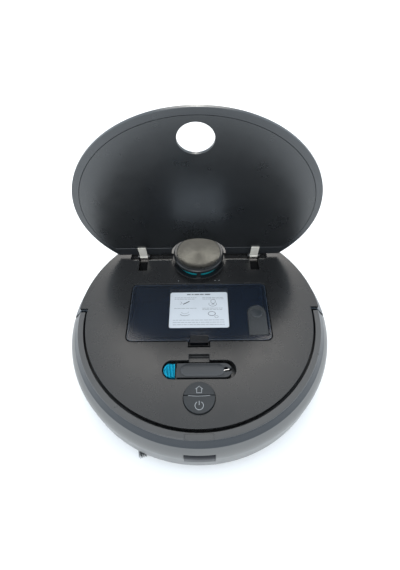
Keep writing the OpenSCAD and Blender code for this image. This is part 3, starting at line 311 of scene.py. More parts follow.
# ---- Drive wheels ----
# A grey nylon hub with a moulded rubber tyre stretched over it. The tyre is cut from a ring:
# two bands of blocks, half a step apart, raised from its tread.
hub_grey = moulded("hub_grey", (0.06, 0.062, 0.066), (0.08, 0.082, 0.086), 0.45)
tyre_rubber = moulded("tyre_rubber", (0.012, 0.012, 0.013), (0.024, 0.023, 0.022), 0.72, grain=700,
                      depth=0.08 * MM, patch=25)
TREAD = 1.3 * MM
TREAD_STEPS = 64
SHOULDER, HALF_GROOVE = 1.5 * MM, 1 * MM
for side in ("left", "right"):
    rounded("wheel_hub_" + side, 0.3 * MM, hub_grey)
    low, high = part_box("wheel_tyre_" + side)
    middle = (low + high) / 2
    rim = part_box("wheel_hub_" + side)
    radius, bore, width = (high.z - low.z) / 2, (rim[1].z - rim[0].z) / 2, high.x - low.x
    bpy.ops.mesh.primitive_cylinder_add(
        vertices=TREAD_STEPS, radius=radius - TREAD, depth=width, location=middle,
        rotation=(0, math.pi / 2, 0),
    )
    tyre = bpy.context.object
    tyre.name = "tread_" + side
    bpy.ops.object.transform_apply()
    edit_all(tyre)
    for x in (low.x + SHOULDER, middle.x - HALF_GROOVE, middle.x + HALF_GROOVE, high.x - SHOULDER):
        bpy.ops.mesh.select_all(action="SELECT")
        bpy.ops.mesh.bisect(plane_co=(x, 0, 0), plane_no=(1, 0, 0))
    bpy.ops.mesh.select_mode(type="FACE")
    bpy.ops.object.mode_set(mode="OBJECT")
    for face in tyre.data.polygons:
        face.select = abs(face.normal.x) > 0.9
    bpy.ops.object.mode_set(mode="EDIT")
    bpy.ops.mesh.inset(thickness=radius - TREAD - bore)
    bpy.ops.mesh.delete(type="FACE")
    bpy.ops.mesh.select_all(action="DESELECT")
    bpy.ops.mesh.select_mode(type="EDGE")
    bpy.ops.mesh.select_non_manifold()
    bpy.ops.mesh.bridge_edge_loops()
    bpy.ops.mesh.select_all(action="SELECT")
    bpy.ops.mesh.normals_make_consistent(inside=False)
    bpy.ops.mesh.select_mode(type="FACE")
    bpy.ops.object.mode_set(mode="OBJECT")
    for face in tyre.data.polygons:
        out = face.center - middle
        step = int((math.atan2(out.z, out.y) / (2 * math.pi) + 0.5) * TREAD_STEPS)
        on_tread = math.hypot(out.y, out.z) > bore + 2 * MM and abs(face.normal.x) < 0.5
        in_band = HALF_GROOVE < abs(out.x) < width / 2 - SHOULDER
        face.select = on_tread and in_band and (step + (2 if out.x > 0 else 0)) % 4 < 3
    bpy.ops.object.mode_set(mode="EDIT")
    bpy.ops.mesh.extrude_region_shrink_fatten(TRANSFORM_OT_shrink_fatten={"value": TREAD})
    bpy.ops.mesh.select_all(action="DESELECT")
    bpy.ops.mesh.select_mode(type="EDGE")
    bpy.ops.mesh.edges_select_sharp(sharpness=math.radians(40))
    bpy.ops.mesh.bevel(offset=0.2 * MM, segments=1, clamp_overlap=True)
    even_shading(tyre)
    tyre.data.materials.append(tyre_rubber)
    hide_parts("wheel_tyre_" + side)
    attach(tyre, "wheel_" + side)


# ---- Caster ----
# A free wheel in a swivelling fork. Its two halves are white and black nylon, so that
# a sensor behind it can count the turns.
caster_nylon = moulded("caster_nylon", (0.62, 0.61, 0.58), (0.7, 0.69, 0.66), 0.3, patch=40)
nodes, links = caster_nylon.node_tree.nodes, caster_nylon.node_tree.links
low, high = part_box("caster_wheel")
place = nodes.new("ShaderNodeTexCoord")
split = nodes.new("ShaderNodeSeparateXYZ")
links.new(place.outputs["Object"], split.inputs["Vector"])
half = nodes.new("ShaderNodeMath")
half.operation = "GREATER_THAN"
half.inputs[1].default_value = (low.y + high.y) / 2
links.new(split.outputs["Y"], half.inputs[0])
two_tone = nodes.new("ShaderNodeMix")
two_tone.data_type = "RGBA"
two_tone.inputs["A"].default_value = (0.02, 0.02, 0.021, 1)
links.new(half.outputs["Value"], two_tone.inputs["Factor"])
links.new(nodes["tone"].outputs["Color"], two_tone.inputs["B"])
links.new(two_tone.outputs["Result"], finish_of(caster_nylon)["Base Color"])
rounded("caster_wheel", 0.8 * MM, caster_nylon, 3)


# ---- Main brush ----
# A core of grey nylon with two rows of bristle tufts and two rubber wipers between them. Rows
# and wipers wind towards the middle from both ends, so that they sweep the dirt inwards.
wear(hub_grey, "roller_core")
brush_nylon = moulded("brush_nylon", (0.0, 0.19, 0.28), (0.0, 0.26, 0.36), 0.45, grain=2500, patch=120)
wiper_rubber = moulded("wiper_rubber", (0.012, 0.012, 0.013), (0.02, 0.02, 0.021), 0.55, patch=40)
low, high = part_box("roller_bristles")
axle = (low + high) / 2
roller_radius = (high.z - low.z) / 2
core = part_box("roller_core")
core_radius = (core[1].z - core[0].z) / 2
half_length = (high.x - low.x) / 2
TUFT_STEP = 3.2 * MM
TUFT_HAIRS = 7
TWIST_DEGREES = 52
winding_pieces = []


def wind(piece, name, base):
    """Twists a straight row that starts at the middle, makes its mirror image, and puts both
    on the brush's axis at the angle base."""
    twist = piece.modifiers.new("twist", "SIMPLE_DEFORM")
    twist.deform_method = "TWIST"
    twist.deform_axis = "X"
    twist.angle = math.radians(TWIST_DEGREES)
    bpy.ops.object.modifier_apply(modifier=twist.name)
    piece.name = name + "_right"
    mirrored = bpy.data.objects.new(name + "_left", piece.data.copy())
    bpy.context.collection.objects.link(mirrored)
    mirrored.data.transform(Matrix.Scale(-1, 4, Vector((1, 0, 0))))
    winding_pieces.append((piece, base))
    winding_pieces.append((mirrored, base))


hairs = []
scatter = random.Random(7)
for number in range(TUFT_HAIRS):
    bpy.ops.mesh.primitive_cone_add(
        vertices=4, radius1=0.28 * MM, radius2=0.2 * MM,
        depth=roller_radius - core_radius + 0.3 * MM,
        location=(
            scatter.uniform(-0.9, 0.9) * MM,
            scatter.uniform(-0.7, 0.7) * MM,
            (roller_radius + core_radius) / 2,
        ),
        rotation=(scatter.uniform(-0.05, 0.05), scatter.uniform(-0.06, 0.06), 0),
    )
    hairs.append(bpy.context.object)
bpy.ops.object.select_all(action="DESELECT")
for hair in hairs:
    hair.select_set(True)
bpy.ops.object.join()
tuft = bpy.context.object
tuft.location.x += TUFT_STEP / 2
bpy.ops.object.transform_apply()
row = tuft.modifiers.new("row", "ARRAY")
row.use_relative_offset = False
row.use_constant_offset = True
row.constant_offset_displace = (TUFT_STEP, 0, 0)
row.count = int(half_length / TUFT_STEP)
bpy.ops.object.modifier_apply(modifier=row.name)
second = bpy.data.objects.new("bristles", tuft.data.copy())
bpy.context.collection.objects.link(second)
wind(tuft, "bristles_a", 0)
bpy.context.view_layer.objects.active = second
wind(second, "bristles_b", math.pi)
for row, base in winding_pieces:
    row.data.materials.append(brush_nylon)

WIPER_WIDTH, WIPER_SINK = 1.1 * MM, 0.4 * MM
for letter, base in (("a", math.pi / 2), ("b", -math.pi / 2)):
    bpy.ops.mesh.primitive_cube_add(
        size=1, location=(half_length / 2, 0, (roller_radius + core_radius) / 2 - WIPER_SINK)
    )
    wiper = bpy.context.object
    wiper.scale = (half_length, WIPER_WIDTH, roller_radius - core_radius - WIPER_SINK)
    bpy.ops.object.transform_apply()
    edit_all(wiper)
    bpy.ops.mesh.subdivide(number_cuts=14)
    bpy.ops.object.mode_set(mode="OBJECT")
    wiper.data.materials.append(wiper_rubber)
    wind(wiper, "wiper_" + letter, base)

for row, base in winding_pieces:
    edit_all(row)
    bpy.ops.mesh.normals_make_consistent(inside=False)
    bpy.ops.object.mode_set(mode="OBJECT")
    row.data.transform(Matrix.Translation(axle) @ Matrix.Rotation(base, 4, "X"))
    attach(row, "main_brush")
    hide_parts("roller_bristles")


# ---- Side brush ----
# A small black nylon hub under the front left edge with three flat tufts of long soft
# bristles. One tuft is modelled hair by hair and copied round the hub.
wear(hub_grey, "side_brush_hub")
side_nylon = moulded("side_nylon", (0.03, 0.032, 0.036), (0.05, 0.052, 0.056), 0.5, grain=2500, patch=120)


def joint_place(name):
    """Where a joint's axis passes, in the frame."""
    return Vector(next(joint for joint in frame["joints"] if joint["name"] == name)["pos_m"])


hub_centre = joint_place("side_brush_spin")
low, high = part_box("side_brush_bristles")
ARM_START, ARM_END = 8.5 * MM, 66.5 * MM
ARM_HAIRS = 34
hairs = []
scatter = random.Random(11)
for number in range(ARM_HAIRS):
    spread = (number / (ARM_HAIRS - 1) - 0.5) * 2
    length = (ARM_END - ARM_START) * scatter.uniform(0.93, 1.0)
    bpy.ops.mesh.primitive_cone_add(
        vertices=4, radius1=0.32 * MM, radius2=0.2 * MM, depth=length, rotation=(0, math.pi / 2, 0),
        location=(length / 2, 0, 0),
    )
    hair = bpy.context.object
    bpy.ops.object.transform_apply()
    droop = scatter.uniform(0.2, 1.3)
    splay = 3.6 * spread + scatter.uniform(-0.4, 0.4)
    hair.rotation_euler = (0, math.radians(droop), math.radians(splay))
    hair.location = (ARM_START, spread * 1.6 * MM, low.z + scatter.uniform(1.35, 1.75) * MM)
    bpy.ops.object.transform_apply()
    hairs.append(hair)
bpy.ops.object.select_all(action="DESELECT")
for hair in hairs:
    hair.select_set(True)
bpy.ops.object.join()
first_arm = bpy.context.object
first_arm.data.materials.append(side_nylon)
for number, angle in enumerate((284, 44, 164)):
    arm = first_arm if number == 2 else bpy.data.objects.new("arm", first_arm.data.copy())
    if number < 2:
        bpy.context.collection.objects.link(arm)
    arm.name = "side_bristles_%d" % (number + 1)
    on_hub = Matrix.Translation((hub_centre.x, hub_centre.y, 0))
    arm.data.transform(on_hub @ Matrix.Rotation(math.radians(angle), 4, "Z"))
    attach(arm, "side_brush")
    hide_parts("side_brush_bristles")


# ---- Motors, battery and electronics ----
# Inside the tub: two bare steel motors, the fan's white impeller, the shrink-wrapped pack of
# cells and the board. The board has green lacquer with a fine grid of tracks.
motor_steel = moulded("motor_steel", (0.42, 0.43, 0.44), (0.55, 0.55, 0.56), 0.32, patch=80)
finish_of(motor_steel)["Metallic"].default_value = 1
wear(motor_steel, "lidar_motor", "fan_motor", "side_brush_motor")
impeller_white = moulded("impeller_white", (0.55, 0.56, 0.55), (0.62, 0.62, 0.6), 0.35, patch=60)
wear(impeller_white, "fan_impeller")
belt_black = moulded("belt_black", (0.01, 0.01, 0.01), (0.016, 0.016, 0.016), 0.65, patch=80)
wear(belt_black, "lidar_belt", "lidar_pulley")
wrap_blue = moulded("wrap_blue", (0.01, 0.06, 0.2), (0.015, 0.08, 0.26), 0.22, grain=150,
                    depth=0.15 * MM, patch=30)
rounded("battery_pack", 1.5 * MM, wrap_blue, 3)

board_green = moulded("board_green", (0.004, 0.06, 0.022), (0.006, 0.085, 0.03), 0.3, patch=50)
nodes, links = board_green.node_tree.nodes, board_green.node_tree.links
tracks = nodes.new("ShaderNodeTexBrick")
tracks.inputs["Color1"].default_value = (0.004, 0.07, 0.026, 1)
tracks.inputs["Color2"].default_value = (0.008, 0.1, 0.036, 1)
tracks.inputs["Mortar"].default_value = (0.02, 0.2, 0.07, 1)
tracks.inputs["Scale"].default_value = 160
tracks.inputs["Mortar Size"].default_value = 0.03
place = nodes.new("ShaderNodeTexCoord")
links.new(place.outputs["Object"], tracks.inputs["Vector"])
links.new(tracks.outputs["Color"], finish_of(board_green)["Base Color"])
wear(board_green, "main_board")


# ---- Dustbin tub, seal, filter and flap ----
# A smoked tub with a pale frame at the back that holds the folded filter, and a dark flap in
# front. The soft seal lies under the cover's edge.
def let_through(material, share):
    """Lets part of the light straight through, as smoked or tinted plastic does."""
    finish_of(material)["Alpha"].default_value = 1 - share
    finish_of(material)["Specular IOR Level"].default_value = 0.6


tub_smoke = moulded("tub_smoke", (0.02, 0.034, 0.06), (0.03, 0.047, 0.078), 0.22, depth=0.004 * MM)
wear(tub_smoke, "bin_tub")
seal_rubber = moulded("seal_rubber", (0.014, 0.015, 0.017), (0.02, 0.021, 0.024), 0.6, patch=60)
wear(seal_rubber, "bin_seal", "inlet_flap")
frame_beige = moulded("frame_beige", (0.44, 0.43, 0.39), (0.5, 0.49, 0.45), 0.45, patch=60)
rounded("filter_frame", 0.4 * MM, frame_beige)

low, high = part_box("filter_frame")
LIP_LENGTH, LIP_WIDTH, LIP_HEIGHT = 56 * MM, 3.6 * MM, 2.8 * MM
bpy.ops.mesh.primitive_cube_add(size=1, location=(0, low.y + 8.4 * MM, high.z + 1.2 * MM))
lip = bpy.context.object
lip.name = "filter_lip"
lip.scale = (LIP_LENGTH, LIP_WIDTH, LIP_HEIGHT)
bpy.ops.object.transform_apply()
edit_all(lip)
bpy.ops.mesh.bevel(offset=0.8 * MM, segments=2, profile=0.5, affect="EDGES")
even_shading(lip)
lip_pale = moulded("lip_pale", (0.62, 0.61, 0.56), (0.7, 0.69, 0.64), 0.4, patch=60)
lip.data.materials.append(lip_pale)
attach(lip, "dustbin")

filter_paper = moulded("filter_paper", (0.66, 0.67, 0.64), (0.76, 0.76, 0.73), 0.85, grain=1800,
                       depth=0.06 * MM, patch=90)
low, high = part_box("hepa_filter")
FOLD, FOLD_DEPTH = 2.2 * MM, 4.4 * MM
folds = int((high.x - low.x) / FOLD)
bpy.ops.mesh.primitive_grid_add(
    x_subdivisions=folds, y_subdivisions=2, size=1, rotation=(math.pi / 2, 0, 0),
    location=(low + high) / 2,
)
pleats = bpy.context.object
pleats.name = "pleated_filter"
pleats.scale = (high.x - low.x, high.z - low.z, 1)
bpy.ops.object.transform_apply()
for vertex in pleats.data.vertices:
    fold = round((vertex.co.x - low.x) / (high.x - low.x) * folds)
    vertex.co.y += -FOLD_DEPTH if fold % 2 else FOLD_DEPTH
thickness = pleats.modifiers.new("thickness", "SOLIDIFY")
thickness.thickness = 0.5 * MM
thickness.offset = 0
bpy.ops.object.modifier_apply(modifier=thickness.name)
pleats.data.materials.append(filter_paper)
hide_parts("hepa_filter")
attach(pleats, "dustbin")


# ---- Dustbin cover ----
# Polished, smoked, dark blue polycarbonate, with a painted highlight as a pale line along its
# edge; the pale filter frame shows through behind the label. The ribbed latch and the grey
# plug are set into it.
cover_smoke = moulded("cover_smoke", (0.006, 0.0105, 0.02), (0.009, 0.015, 0.027), 0.17,
                      depth=0.0001 * MM, patch=14)
let_through(cover_smoke, 0.38)
rounded("bin_cover", 0.6 * MM, cover_smoke, 3)

latch_black = moulded("latch_black", (0.003, 0.0036, 0.005), (0.005, 0.0058, 0.0075), 0.3,
                      depth=0.004 * MM, shine=0.35)
rounded("bin_latch", 0.25 * MM, latch_black)

plug_silicone = moulded("plug_silicone", (0.034, 0.036, 0.038), (0.048, 0.05, 0.051), 0.42, patch=80)
let_through(plug_silicone, 0.25)
rounded("water_plug", 0.45 * MM, plug_silicone, 3)

# A dome on the plug's arched end, which a fingernail catches to lift it.
low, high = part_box("water_plug")
arch_radius = (high.x - low.x) / 2
bpy.ops.mesh.primitive_uv_sphere_add(
    segments=32, ring_count=16, radius=1,
    location=((low.x + high.x) / 2, high.y - arch_radius, high.z),
)
dome = bpy.context.object
dome.name = "plug_dome"
dome.scale = (7.5 * MM, 6.5 * MM, 0.42 * MM)
bpy.ops.object.transform_apply()
bpy.ops.object.shade_smooth()
plug_gloss = moulded("plug_gloss", (0.03, 0.033, 0.036), (0.045, 0.048, 0.05), 0.08, patch=80)
dome.data.materials.append(plug_gloss)
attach(dome, "tank_plug")


# ---- Label on the dustbin cover ----
# A white plastic film label. Its print is generic: a row of bars for a title, four small line
# drawings with grey bars over them, and three rows of fine bars.
label_film = moulded("label_film", (0.54, 0.56, 0.585), (0.59, 0.61, 0.635), 0.34, grain=700,
                     depth=0.004 * MM, patch=30)
rounded("bin_label", 0.08 * MM, label_film, 1)
label_low, label_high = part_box("bin_label")
PRINT_Z = label_high.z + 0.01 * MM
marks = []


def bar(x, y, length, height):
    """A printed bar, with x and y in millimetres from the label's left rear corner."""
    place = (label_low.x + x * MM, label_high.y - y * MM, PRINT_Z)
    bpy.ops.mesh.primitive_plane_add(size=MM, location=place)
    mark = bpy.context.object
    mark.scale = (length, height, 1)
    ink = mark.modifiers.new("ink", "SOLIDIFY")
    ink.thickness = 0.02 * MM
    bpy.ops.object.modifier_apply(modifier=ink.name)
    bpy.ops.object.transform_apply()
    marks.append(mark)


def line_mark(points, place, width, closed=False):
    """A printed or moulded line through the points, in millimetres from place."""
    curve = bpy.data.curves.new("line", "CURVE")
    curve.dimensions = "3D"
    spline = curve.splines.new("POLY")
    spline.points.add(len(points) - 1)
    for point, (x, y) in zip(spline.points, points):
        point.co = (x * MM, y * MM, 0, 1)
    spline.use_cyclic_u = closed
    curve.bevel_depth = width * MM / 2
    curve.bevel_resolution = 1
    curve.use_fill_caps = True
    line = bpy.data.objects.new("line", curve)
    bpy.context.collection.objects.link(line)
    line.location = place
    line.scale.z = 0.12
    bpy.ops.object.select_all(action="DESELECT")
    line.select_set(True)
    bpy.context.view_layer.objects.active = line
    bpy.ops.object.convert(target="MESH")
    bpy.ops.object.transform_apply()
    marks.append(bpy.context.object)


def oval(radius_x, radius_y, start=0, stop=360, x=0, y=0, steps=28):
    """Points round part of an oval, in degrees from +X."""
    turns = [math.radians(start + (stop - start) * step / steps) for step in range(steps + 1)]
    return [(x + radius_x * math.cos(turn), y + radius_y * math.sin(turn)) for turn in turns]


def join_marks(name, material, body):
    """Joins the marks made so far into one piece."""
    bpy.ops.object.select_all(action="DESELECT")
    for mark in marks:
        mark.select_set(True)
    bpy.context.view_layer.objects.active = marks[0]
    bpy.ops.object.join()
    piece = bpy.context.object
    piece.name = name
    piece.data.materials.clear()
    piece.data.materials.append(material)
    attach(piece, body)
    marks.clear()


label_ink = moulded("label_ink", (0.06, 0.06, 0.065), (0.1, 0.1, 0.105), 0.5, patch=300)
pale_ink = moulded("pale_ink", (0.22, 0.225, 0.24), (0.3, 0.305, 0.32), 0.5, patch=300)
for x, length in ((25.4, 5.0), (30.6, 2.6), (36.4, 6.2), (43.2, 5.4), (51.2, 7.6)):
    bar(x, 3.6, length, 1.5)
drawing = Vector((label_low.x + 20.5 * MM, label_high.y - 17 * MM, PRINT_Z))
line_mark([(-2.5, -2.6), (6, 2.2)], drawing, 1.3)
line_mark([(-6, 1.6), (-4, -1), (-6.5, -2.6)], drawing, 0.5)
drawing = Vector((label_low.x + 58 * MM, label_high.y - 17.5 * MM, PRINT_Z))
line_mark(oval(3.1, 3.4, 0, 360, 0.6, 2.2), drawing, 0.5)
line_mark(oval(5.2, 3.6, 150, 390, 0, -2), drawing, 0.5)
line_mark([(-1.6, -3.4), (2.4, -0.4)], drawing, 0.5)
line_mark([(2.2, -3.6), (-1.4, -0.2)], drawing, 0.5)
drawing = Vector((label_low.x + 20.5 * MM, label_high.y - 36 * MM, PRINT_Z))
line_mark(oval(6.4, 3.4, 200, 340, 0, 1.6), drawing, 0.6)
line_mark(oval(5.0, 3.4, 190, 350, 0, 4.8), drawing, 0.3)
drawing = Vector((label_low.x + 58 * MM, label_high.y - 36 * MM, PRINT_Z))
line_mark(oval(4.8, 3.2, 0, 360, -1.6, 1.2), drawing, 0.7)
line_mark(oval(2.2, 1.7, 0, 360, 4.6, -3.6), drawing, 0.4)
join_marks("label_drawings", label_ink, "dustbin")
scatter = random.Random(3)
for left, right, rows in (
    (6, 36, (8.9, 11.3)), (44, 73, (8.9, 11.3)), (6, 36, (26.2,)), (44, 73, (26.2, 28.4)),
    (5, 73.5, (44.6, 48.0, 51.4)),
):
    for y in rows:
        x = left
        while x < right - 2:
            length = min(scatter.uniform(1.8, 5.6), right - x)
            bar(x + length / 2, y, length, 0.75)
            x += length + 0.8
join_marks("label_rows", pale_ink, "dustbin")

# A fine pale line just inside a thin black gasket is a painted highlight, where the polished edge would
# catch the light.
cover_low, cover_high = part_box("bin_cover")
painted_edge_highlight = moulded("painted_edge_highlight", (0.07, 0.085, 0.105), (0.1, 0.12, 0.145), 0.15, depth=0.0005 * MM)
gasket_black = moulded("gasket_black", (0.0015, 0.0015, 0.002), (0.003, 0.003, 0.0035), 0.6,
                       patch=60, shine=0.15)
CORNER_RADIUS = 7.5
HALF_LATCH = 13
middle = (cover_low + cover_high) / 2
for name, inset, width, material, slot in (
    ("cover_gasket", 0.55, 1.0, gasket_black, "seal_rubber"),
    ("cover_edge", 1.5, 0.45, painted_edge_highlight, "cover_plastic"),
):
    half_x = (cover_high.x - cover_low.x) / 2 / MM - inset
    half_y = (cover_high.y - cover_low.y) / 2 / MM - inset
    corner = CORNER_RADIUS - inset
    loop = [(HALF_LATCH, -half_y)]
    for turn, x, y in ((270, 1, -1), (0, 1, 1), (90, -1, 1), (180, -1, -1)):
        loop += oval(corner, corner, turn, turn + 90, x * (half_x - corner), y * (half_y - corner), 8)
    loop.append((-HALF_LATCH, -half_y))
    line_mark(loop, Vector((middle.x, middle.y, cover_high.z - 0.02 * MM)), width)
    join_marks(name, material, "dustbin")


# ---- Top deck ----
# The round ABS plate that the bin, the tool and the buttons are let into. Its graphite finish
# is a fine satin grain; three tiny lamps stand behind the dustbin.
deck_graphite = moulded("deck_graphite", (0.0075, 0.0074, 0.0076), (0.0105, 0.0102, 0.0102), 0.27,
                        grain=700, depth=0.002 * MM, patch=6, shine=0.62)
rounded("top_deck", 0.45 * MM, deck_graphite, 3)
deck_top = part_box("bin_cover")[1].z
hinge = joint_place("lid_hinge")
# Near-black blocks sit down in the hinge arms' slots as painted shade, so that the slots read as dark
# hollows under the straps.
slot_shade_black = moulded("slot_shade_black", (0.003, 0.003, 0.0032), (0.005, 0.005, 0.0052), 0.9, grain=900,
                   depth=0.2 * MM, shine=0.2)
ARM_MIDDLE = 5.75 * MM
SHADE_Y, SHADE_Z = 81.2 * MM, 72 * MM
SHADE_SIZE = (12 * MM, 19.6 * MM, 1.4 * MM)
arms_low, arms_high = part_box("hinge_arms")
for side, x in (("left", arms_low.x + ARM_MIDDLE), ("right", arms_high.x - ARM_MIDDLE)):
    bpy.ops.mesh.primitive_cube_add(size=1, location=(x, SHADE_Y, SHADE_Z))
    slot_shade = bpy.context.object
    slot_shade.name = "arm_slot_shade_" + side
    slot_shade.scale = SHADE_SIZE
    bpy.ops.object.transform_apply()
    edit_all(slot_shade)
    bpy.ops.mesh.bevel(offset=0.5 * MM, segments=3, profile=0.5, affect="EDGES")
    even_shading(slot_shade)
    slot_shade.data.materials.append(slot_shade_black)
    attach(slot_shade, "body")

# A pale line along the trough's front edge is a painted highlight, left out where the hinge
# arms come down over it.
painted_trough_highlight = moulded("painted_trough_highlight", (0.2, 0.2, 0.19), (0.42, 0.41, 0.38), 0.2, patch=60)
trough_front = Vector((0, hinge.y - 7.35 * MM, deck_top - 0.03 * MM))
for x0, x1 in ((-97, -89.5), (-74.5, -40.5), (40.5, 74.5), (89.5, 97)):
    line_mark([(x0, 0), ((x0 + x1) / 2, 0), (x1, 0)], trough_front, 0.6)
join_marks("trough_edge_highlight", painted_trough_highlight, "body")

LAMP_RADIUS = 0.75 * MM
lamp_grey = moulded("lamp_grey", (0.2, 0.2, 0.2), (0.3, 0.3, 0.3), 0.2, patch=200)
for number, (x, y) in enumerate(((23, 51.6), (28.8, 51.6), (-29, 51.4))):
    bpy.ops.mesh.primitive_uv_sphere_add(
        segments=16, ring_count=8, radius=LAMP_RADIUS,
        location=(x * MM, y * MM, deck_top - 0.35 * MM),
    )
    lamp = bpy.context.object
    lamp.name = "deck_lamp_%d" % (number + 1)
    bpy.ops.object.transform_apply()
    bpy.ops.object.shade_smooth()
    lamp.data.materials.append(lamp_grey)
    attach(lamp, "body")


# ---- Cleaning tool ----
# A glass-filled nylon handle with a soft domed grip, cyan bristles at its left end, and a small
# steel blade in the hook at its right end. It lies loose in its pocket.
def select_top(piece):
    """Opens one piece for editing, with only the faces that look up selected."""
    edit_all(piece)
    bpy.ops.mesh.select_all(action="DESELECT")
    bpy.ops.mesh.select_mode(type="FACE")
    bpy.ops.object.mode_set(mode="OBJECT")
    for face in piece.data.polygons:
        face.select = face.normal.z > 0.9
    bpy.ops.object.mode_set(mode="EDIT")


tool_grey = moulded("tool_grey", (0.026, 0.027, 0.029), (0.034, 0.035, 0.037), 0.5)
handle = rounded("tool_handle", 0.3 * MM, tool_grey)
low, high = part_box("tool_handle")
grip_seat = high.z - 2 * MM
for vertex in handle.data.vertices:
    if vertex.co.z > grip_seat + 0.6 * MM:
        vertex.co.z = min(vertex.co.z - 1 * MM, grip_seat + 0.02 * MM)
GRIP_LENGTH, GRIP_WIDTH, GRIP_HEIGHT, GRIP_X = 53 * MM, 15.6 * MM, 2.6 * MM, 4 * MM
bpy.ops.mesh.primitive_cylinder_add(
    vertices=48, radius=GRIP_WIDTH / 2, depth=GRIP_HEIGHT,
    location=(GRIP_X, (low.y + high.y) / 2, high.z - GRIP_HEIGHT / 2),
)
grip = bpy.context.object
grip.name = "tool_grip"
bpy.ops.object.transform_apply()
for vertex in grip.data.vertices:
    vertex.co.x += math.copysign((GRIP_LENGTH - GRIP_WIDTH) / 2, vertex.co.x - GRIP_X)
for vertex in grip.data.vertices:
    if vertex.co.z > high.z - 0.1 * MM:
        vertex.co.z = grip_seat + 0.05 * MM
select_top(grip)
for inward, rise in ((0.7, 0.8), (1.2, 0.55), (1.8, 0.36), (1.9, 0.16)):
    bpy.ops.mesh.inset(thickness=inward * MM)
    bpy.ops.transform.translate(value=(0, 0, rise * MM))
bpy.ops.object.mode_set(mode="OBJECT")
bpy.ops.object.shade_smooth_by_angle(angle=math.radians(50))
grip_rubber = moulded("grip_rubber", (0.03, 0.031, 0.033), (0.04, 0.041, 0.043), 0.44, grain=1500)
grip.data.materials.append(grip_rubber)
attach(grip, "cleaning_tool")

blade_steel = moulded("blade_steel", (0.62, 0.62, 0.63), (0.72, 0.72, 0.72), 0.18, grain=2500, patch=150)
finish_of(blade_steel)["Metallic"].default_value = 1
wear(blade_steel, "tool_blade")

bristle_cyan = moulded("bristle_cyan", (0.0, 0.36, 0.56), (0.0, 0.5, 0.72), 0.45, grain=3500,
                       patch=420, shine=0.25)
low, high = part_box("tool_bristles")
bpy.ops.mesh.primitive_cone_add(
    vertices=5, radius1=0.6 * MM, radius2=0.5 * MM, depth=high.z - low.z - 0.3 * MM,
    location=(low.x + 0.7 * MM, low.y + 0.7 * MM, (low.z + high.z) / 2 - 0.15 * MM),
)
strands = bpy.context.object
strands.name = "cyan_bristles"
bpy.ops.object.transform_apply()
for axis, step, length in ((0, 1.75 * MM, high.x - low.x), (1, 1.0 * MM, high.y - low.y)):
    spread = strands.modifiers.new("spread", "ARRAY")
    spread.use_relative_offset = False
    spread.use_constant_offset = True
    spread.constant_offset_displace = [step if axis == number else 0 for number in range(3)]
    spread.count = int((length - 0.2 * MM) / step)
    bpy.ops.object.modifier_apply(modifier=spread.name)
scatter = random.Random(5)
round_centre = Vector((low.x + (high.y - low.y) / 2, (low.y + high.y) / 2, 0))
STRAND = 10  # vertices in one strand
round_radius = (high.y - low.y) / 2 - 0.7 * MM
for start in range(0, len(strands.data.vertices), STRAND):
    ring = [strands.data.vertices[number] for number in range(start, start + STRAND)]
    lean = Vector((
        scatter.uniform(-0.1, 0.1), scatter.uniform(-0.22, 0.22), scatter.uniform(-0.5, 0.25),
    )) * MM
    middle = sum((vertex.co for vertex in ring), Vector()) / STRAND
    shift = Vector((0, 0, 0))
    out = Vector((middle.x - round_centre.x, middle.y - round_centre.y, 0))
    if out.x < 0 and out.length > round_radius:
        shift = out * round_radius / out.length - out
    for vertex in ring:
        vertex.co += shift
        if vertex.co.z > middle.z:
            vertex.co += lean
strands.data.materials.append(bristle_cyan)
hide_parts("tool_bristles")
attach(strands, "cleaning_tool")


# ---- Home and power buttons ----
# Two keys of charcoal rubberised plastic that share one round well. The signs are light grey
# lines printed on them, and a fine line marks where they part.
key_charcoal = moulded("key_charcoal", (0.017, 0.019, 0.021), (0.023, 0.025, 0.027), 0.55, shine=0.4)
rounded("home_button", 0.55 * MM, key_charcoal, 3)
rounded("power_button", 0.55 * MM, key_charcoal, 3)
key_ink = moulded("key_ink", (0.24, 0.25, 0.26), (0.3, 0.31, 0.32), 0.5, patch=300)
front_key, rear_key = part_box("power_button"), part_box("home_button")
key_top = front_key[1].z
well_centre_y = rear_key[1].y - (rear_key[1].y - front_key[0].y) / 2
sign = Vector((0, well_centre_y + 8.9 * MM, key_top))
line_mark([(-4.1, 0.3), (0, 3.9), (4.1, 0.3)], sign, 0.75)
line_mark([(-2.8, 0.8), (-2.8, -4.0), (2.8, -4.0), (2.8, 0.8)], sign, 0.75)
join_marks("home_sign", key_ink, "home_key")
sign = Vector((0, well_centre_y - 9.4 * MM, key_top))
line_mark(oval(4.7, 4.7, 122, 418), sign, 0.75)
line_mark([(0, 5.2), (0, 0.6)], sign, 0.75)
sign = Vector((0, front_key[1].y - 0.95 * MM, key_top))
line_mark(oval(120, 120, 264, 276, 0, 120.2), sign, 0.55)
join_marks("power_sign", key_ink, "power_key")


# ---- Bumper and rear shell ----
# A satin shell of two close greys: pale on its upright side, darker on the slope above it. The
# ring on top and the insert are separate mouldings, and the rear shell closes the circle.
def band_above(material, height, colour):
    """Gives the piece another tone above a height, with a sharp change as between mouldings."""
    nodes, links = material.node_tree.nodes, material.node_tree.links
    place = nodes.new("ShaderNodeTexCoord")
    split = nodes.new("ShaderNodeSeparateXYZ")
    links.new(place.outputs["Object"], split.inputs["Vector"])
    above = nodes.new("ShaderNodeMapRange")
    above.inputs["From Min"].default_value = height - 0.3 * MM
    above.inputs["From Max"].default_value = height + 0.3 * MM
    links.new(split.outputs["Z"], above.inputs["Value"])
    two_tones = nodes.new("ShaderNodeMix")
    two_tones.data_type = "RGBA"
    links.new(above.outputs["Result"], two_tones.inputs["Factor"])
    links.new(nodes["tone"].outputs["Color"], two_tones.inputs["A"])
    two_tones.inputs["B"].default_value = (*colour, 1)
    links.new(two_tones.outputs["Result"], finish_of(material)["Base Color"])


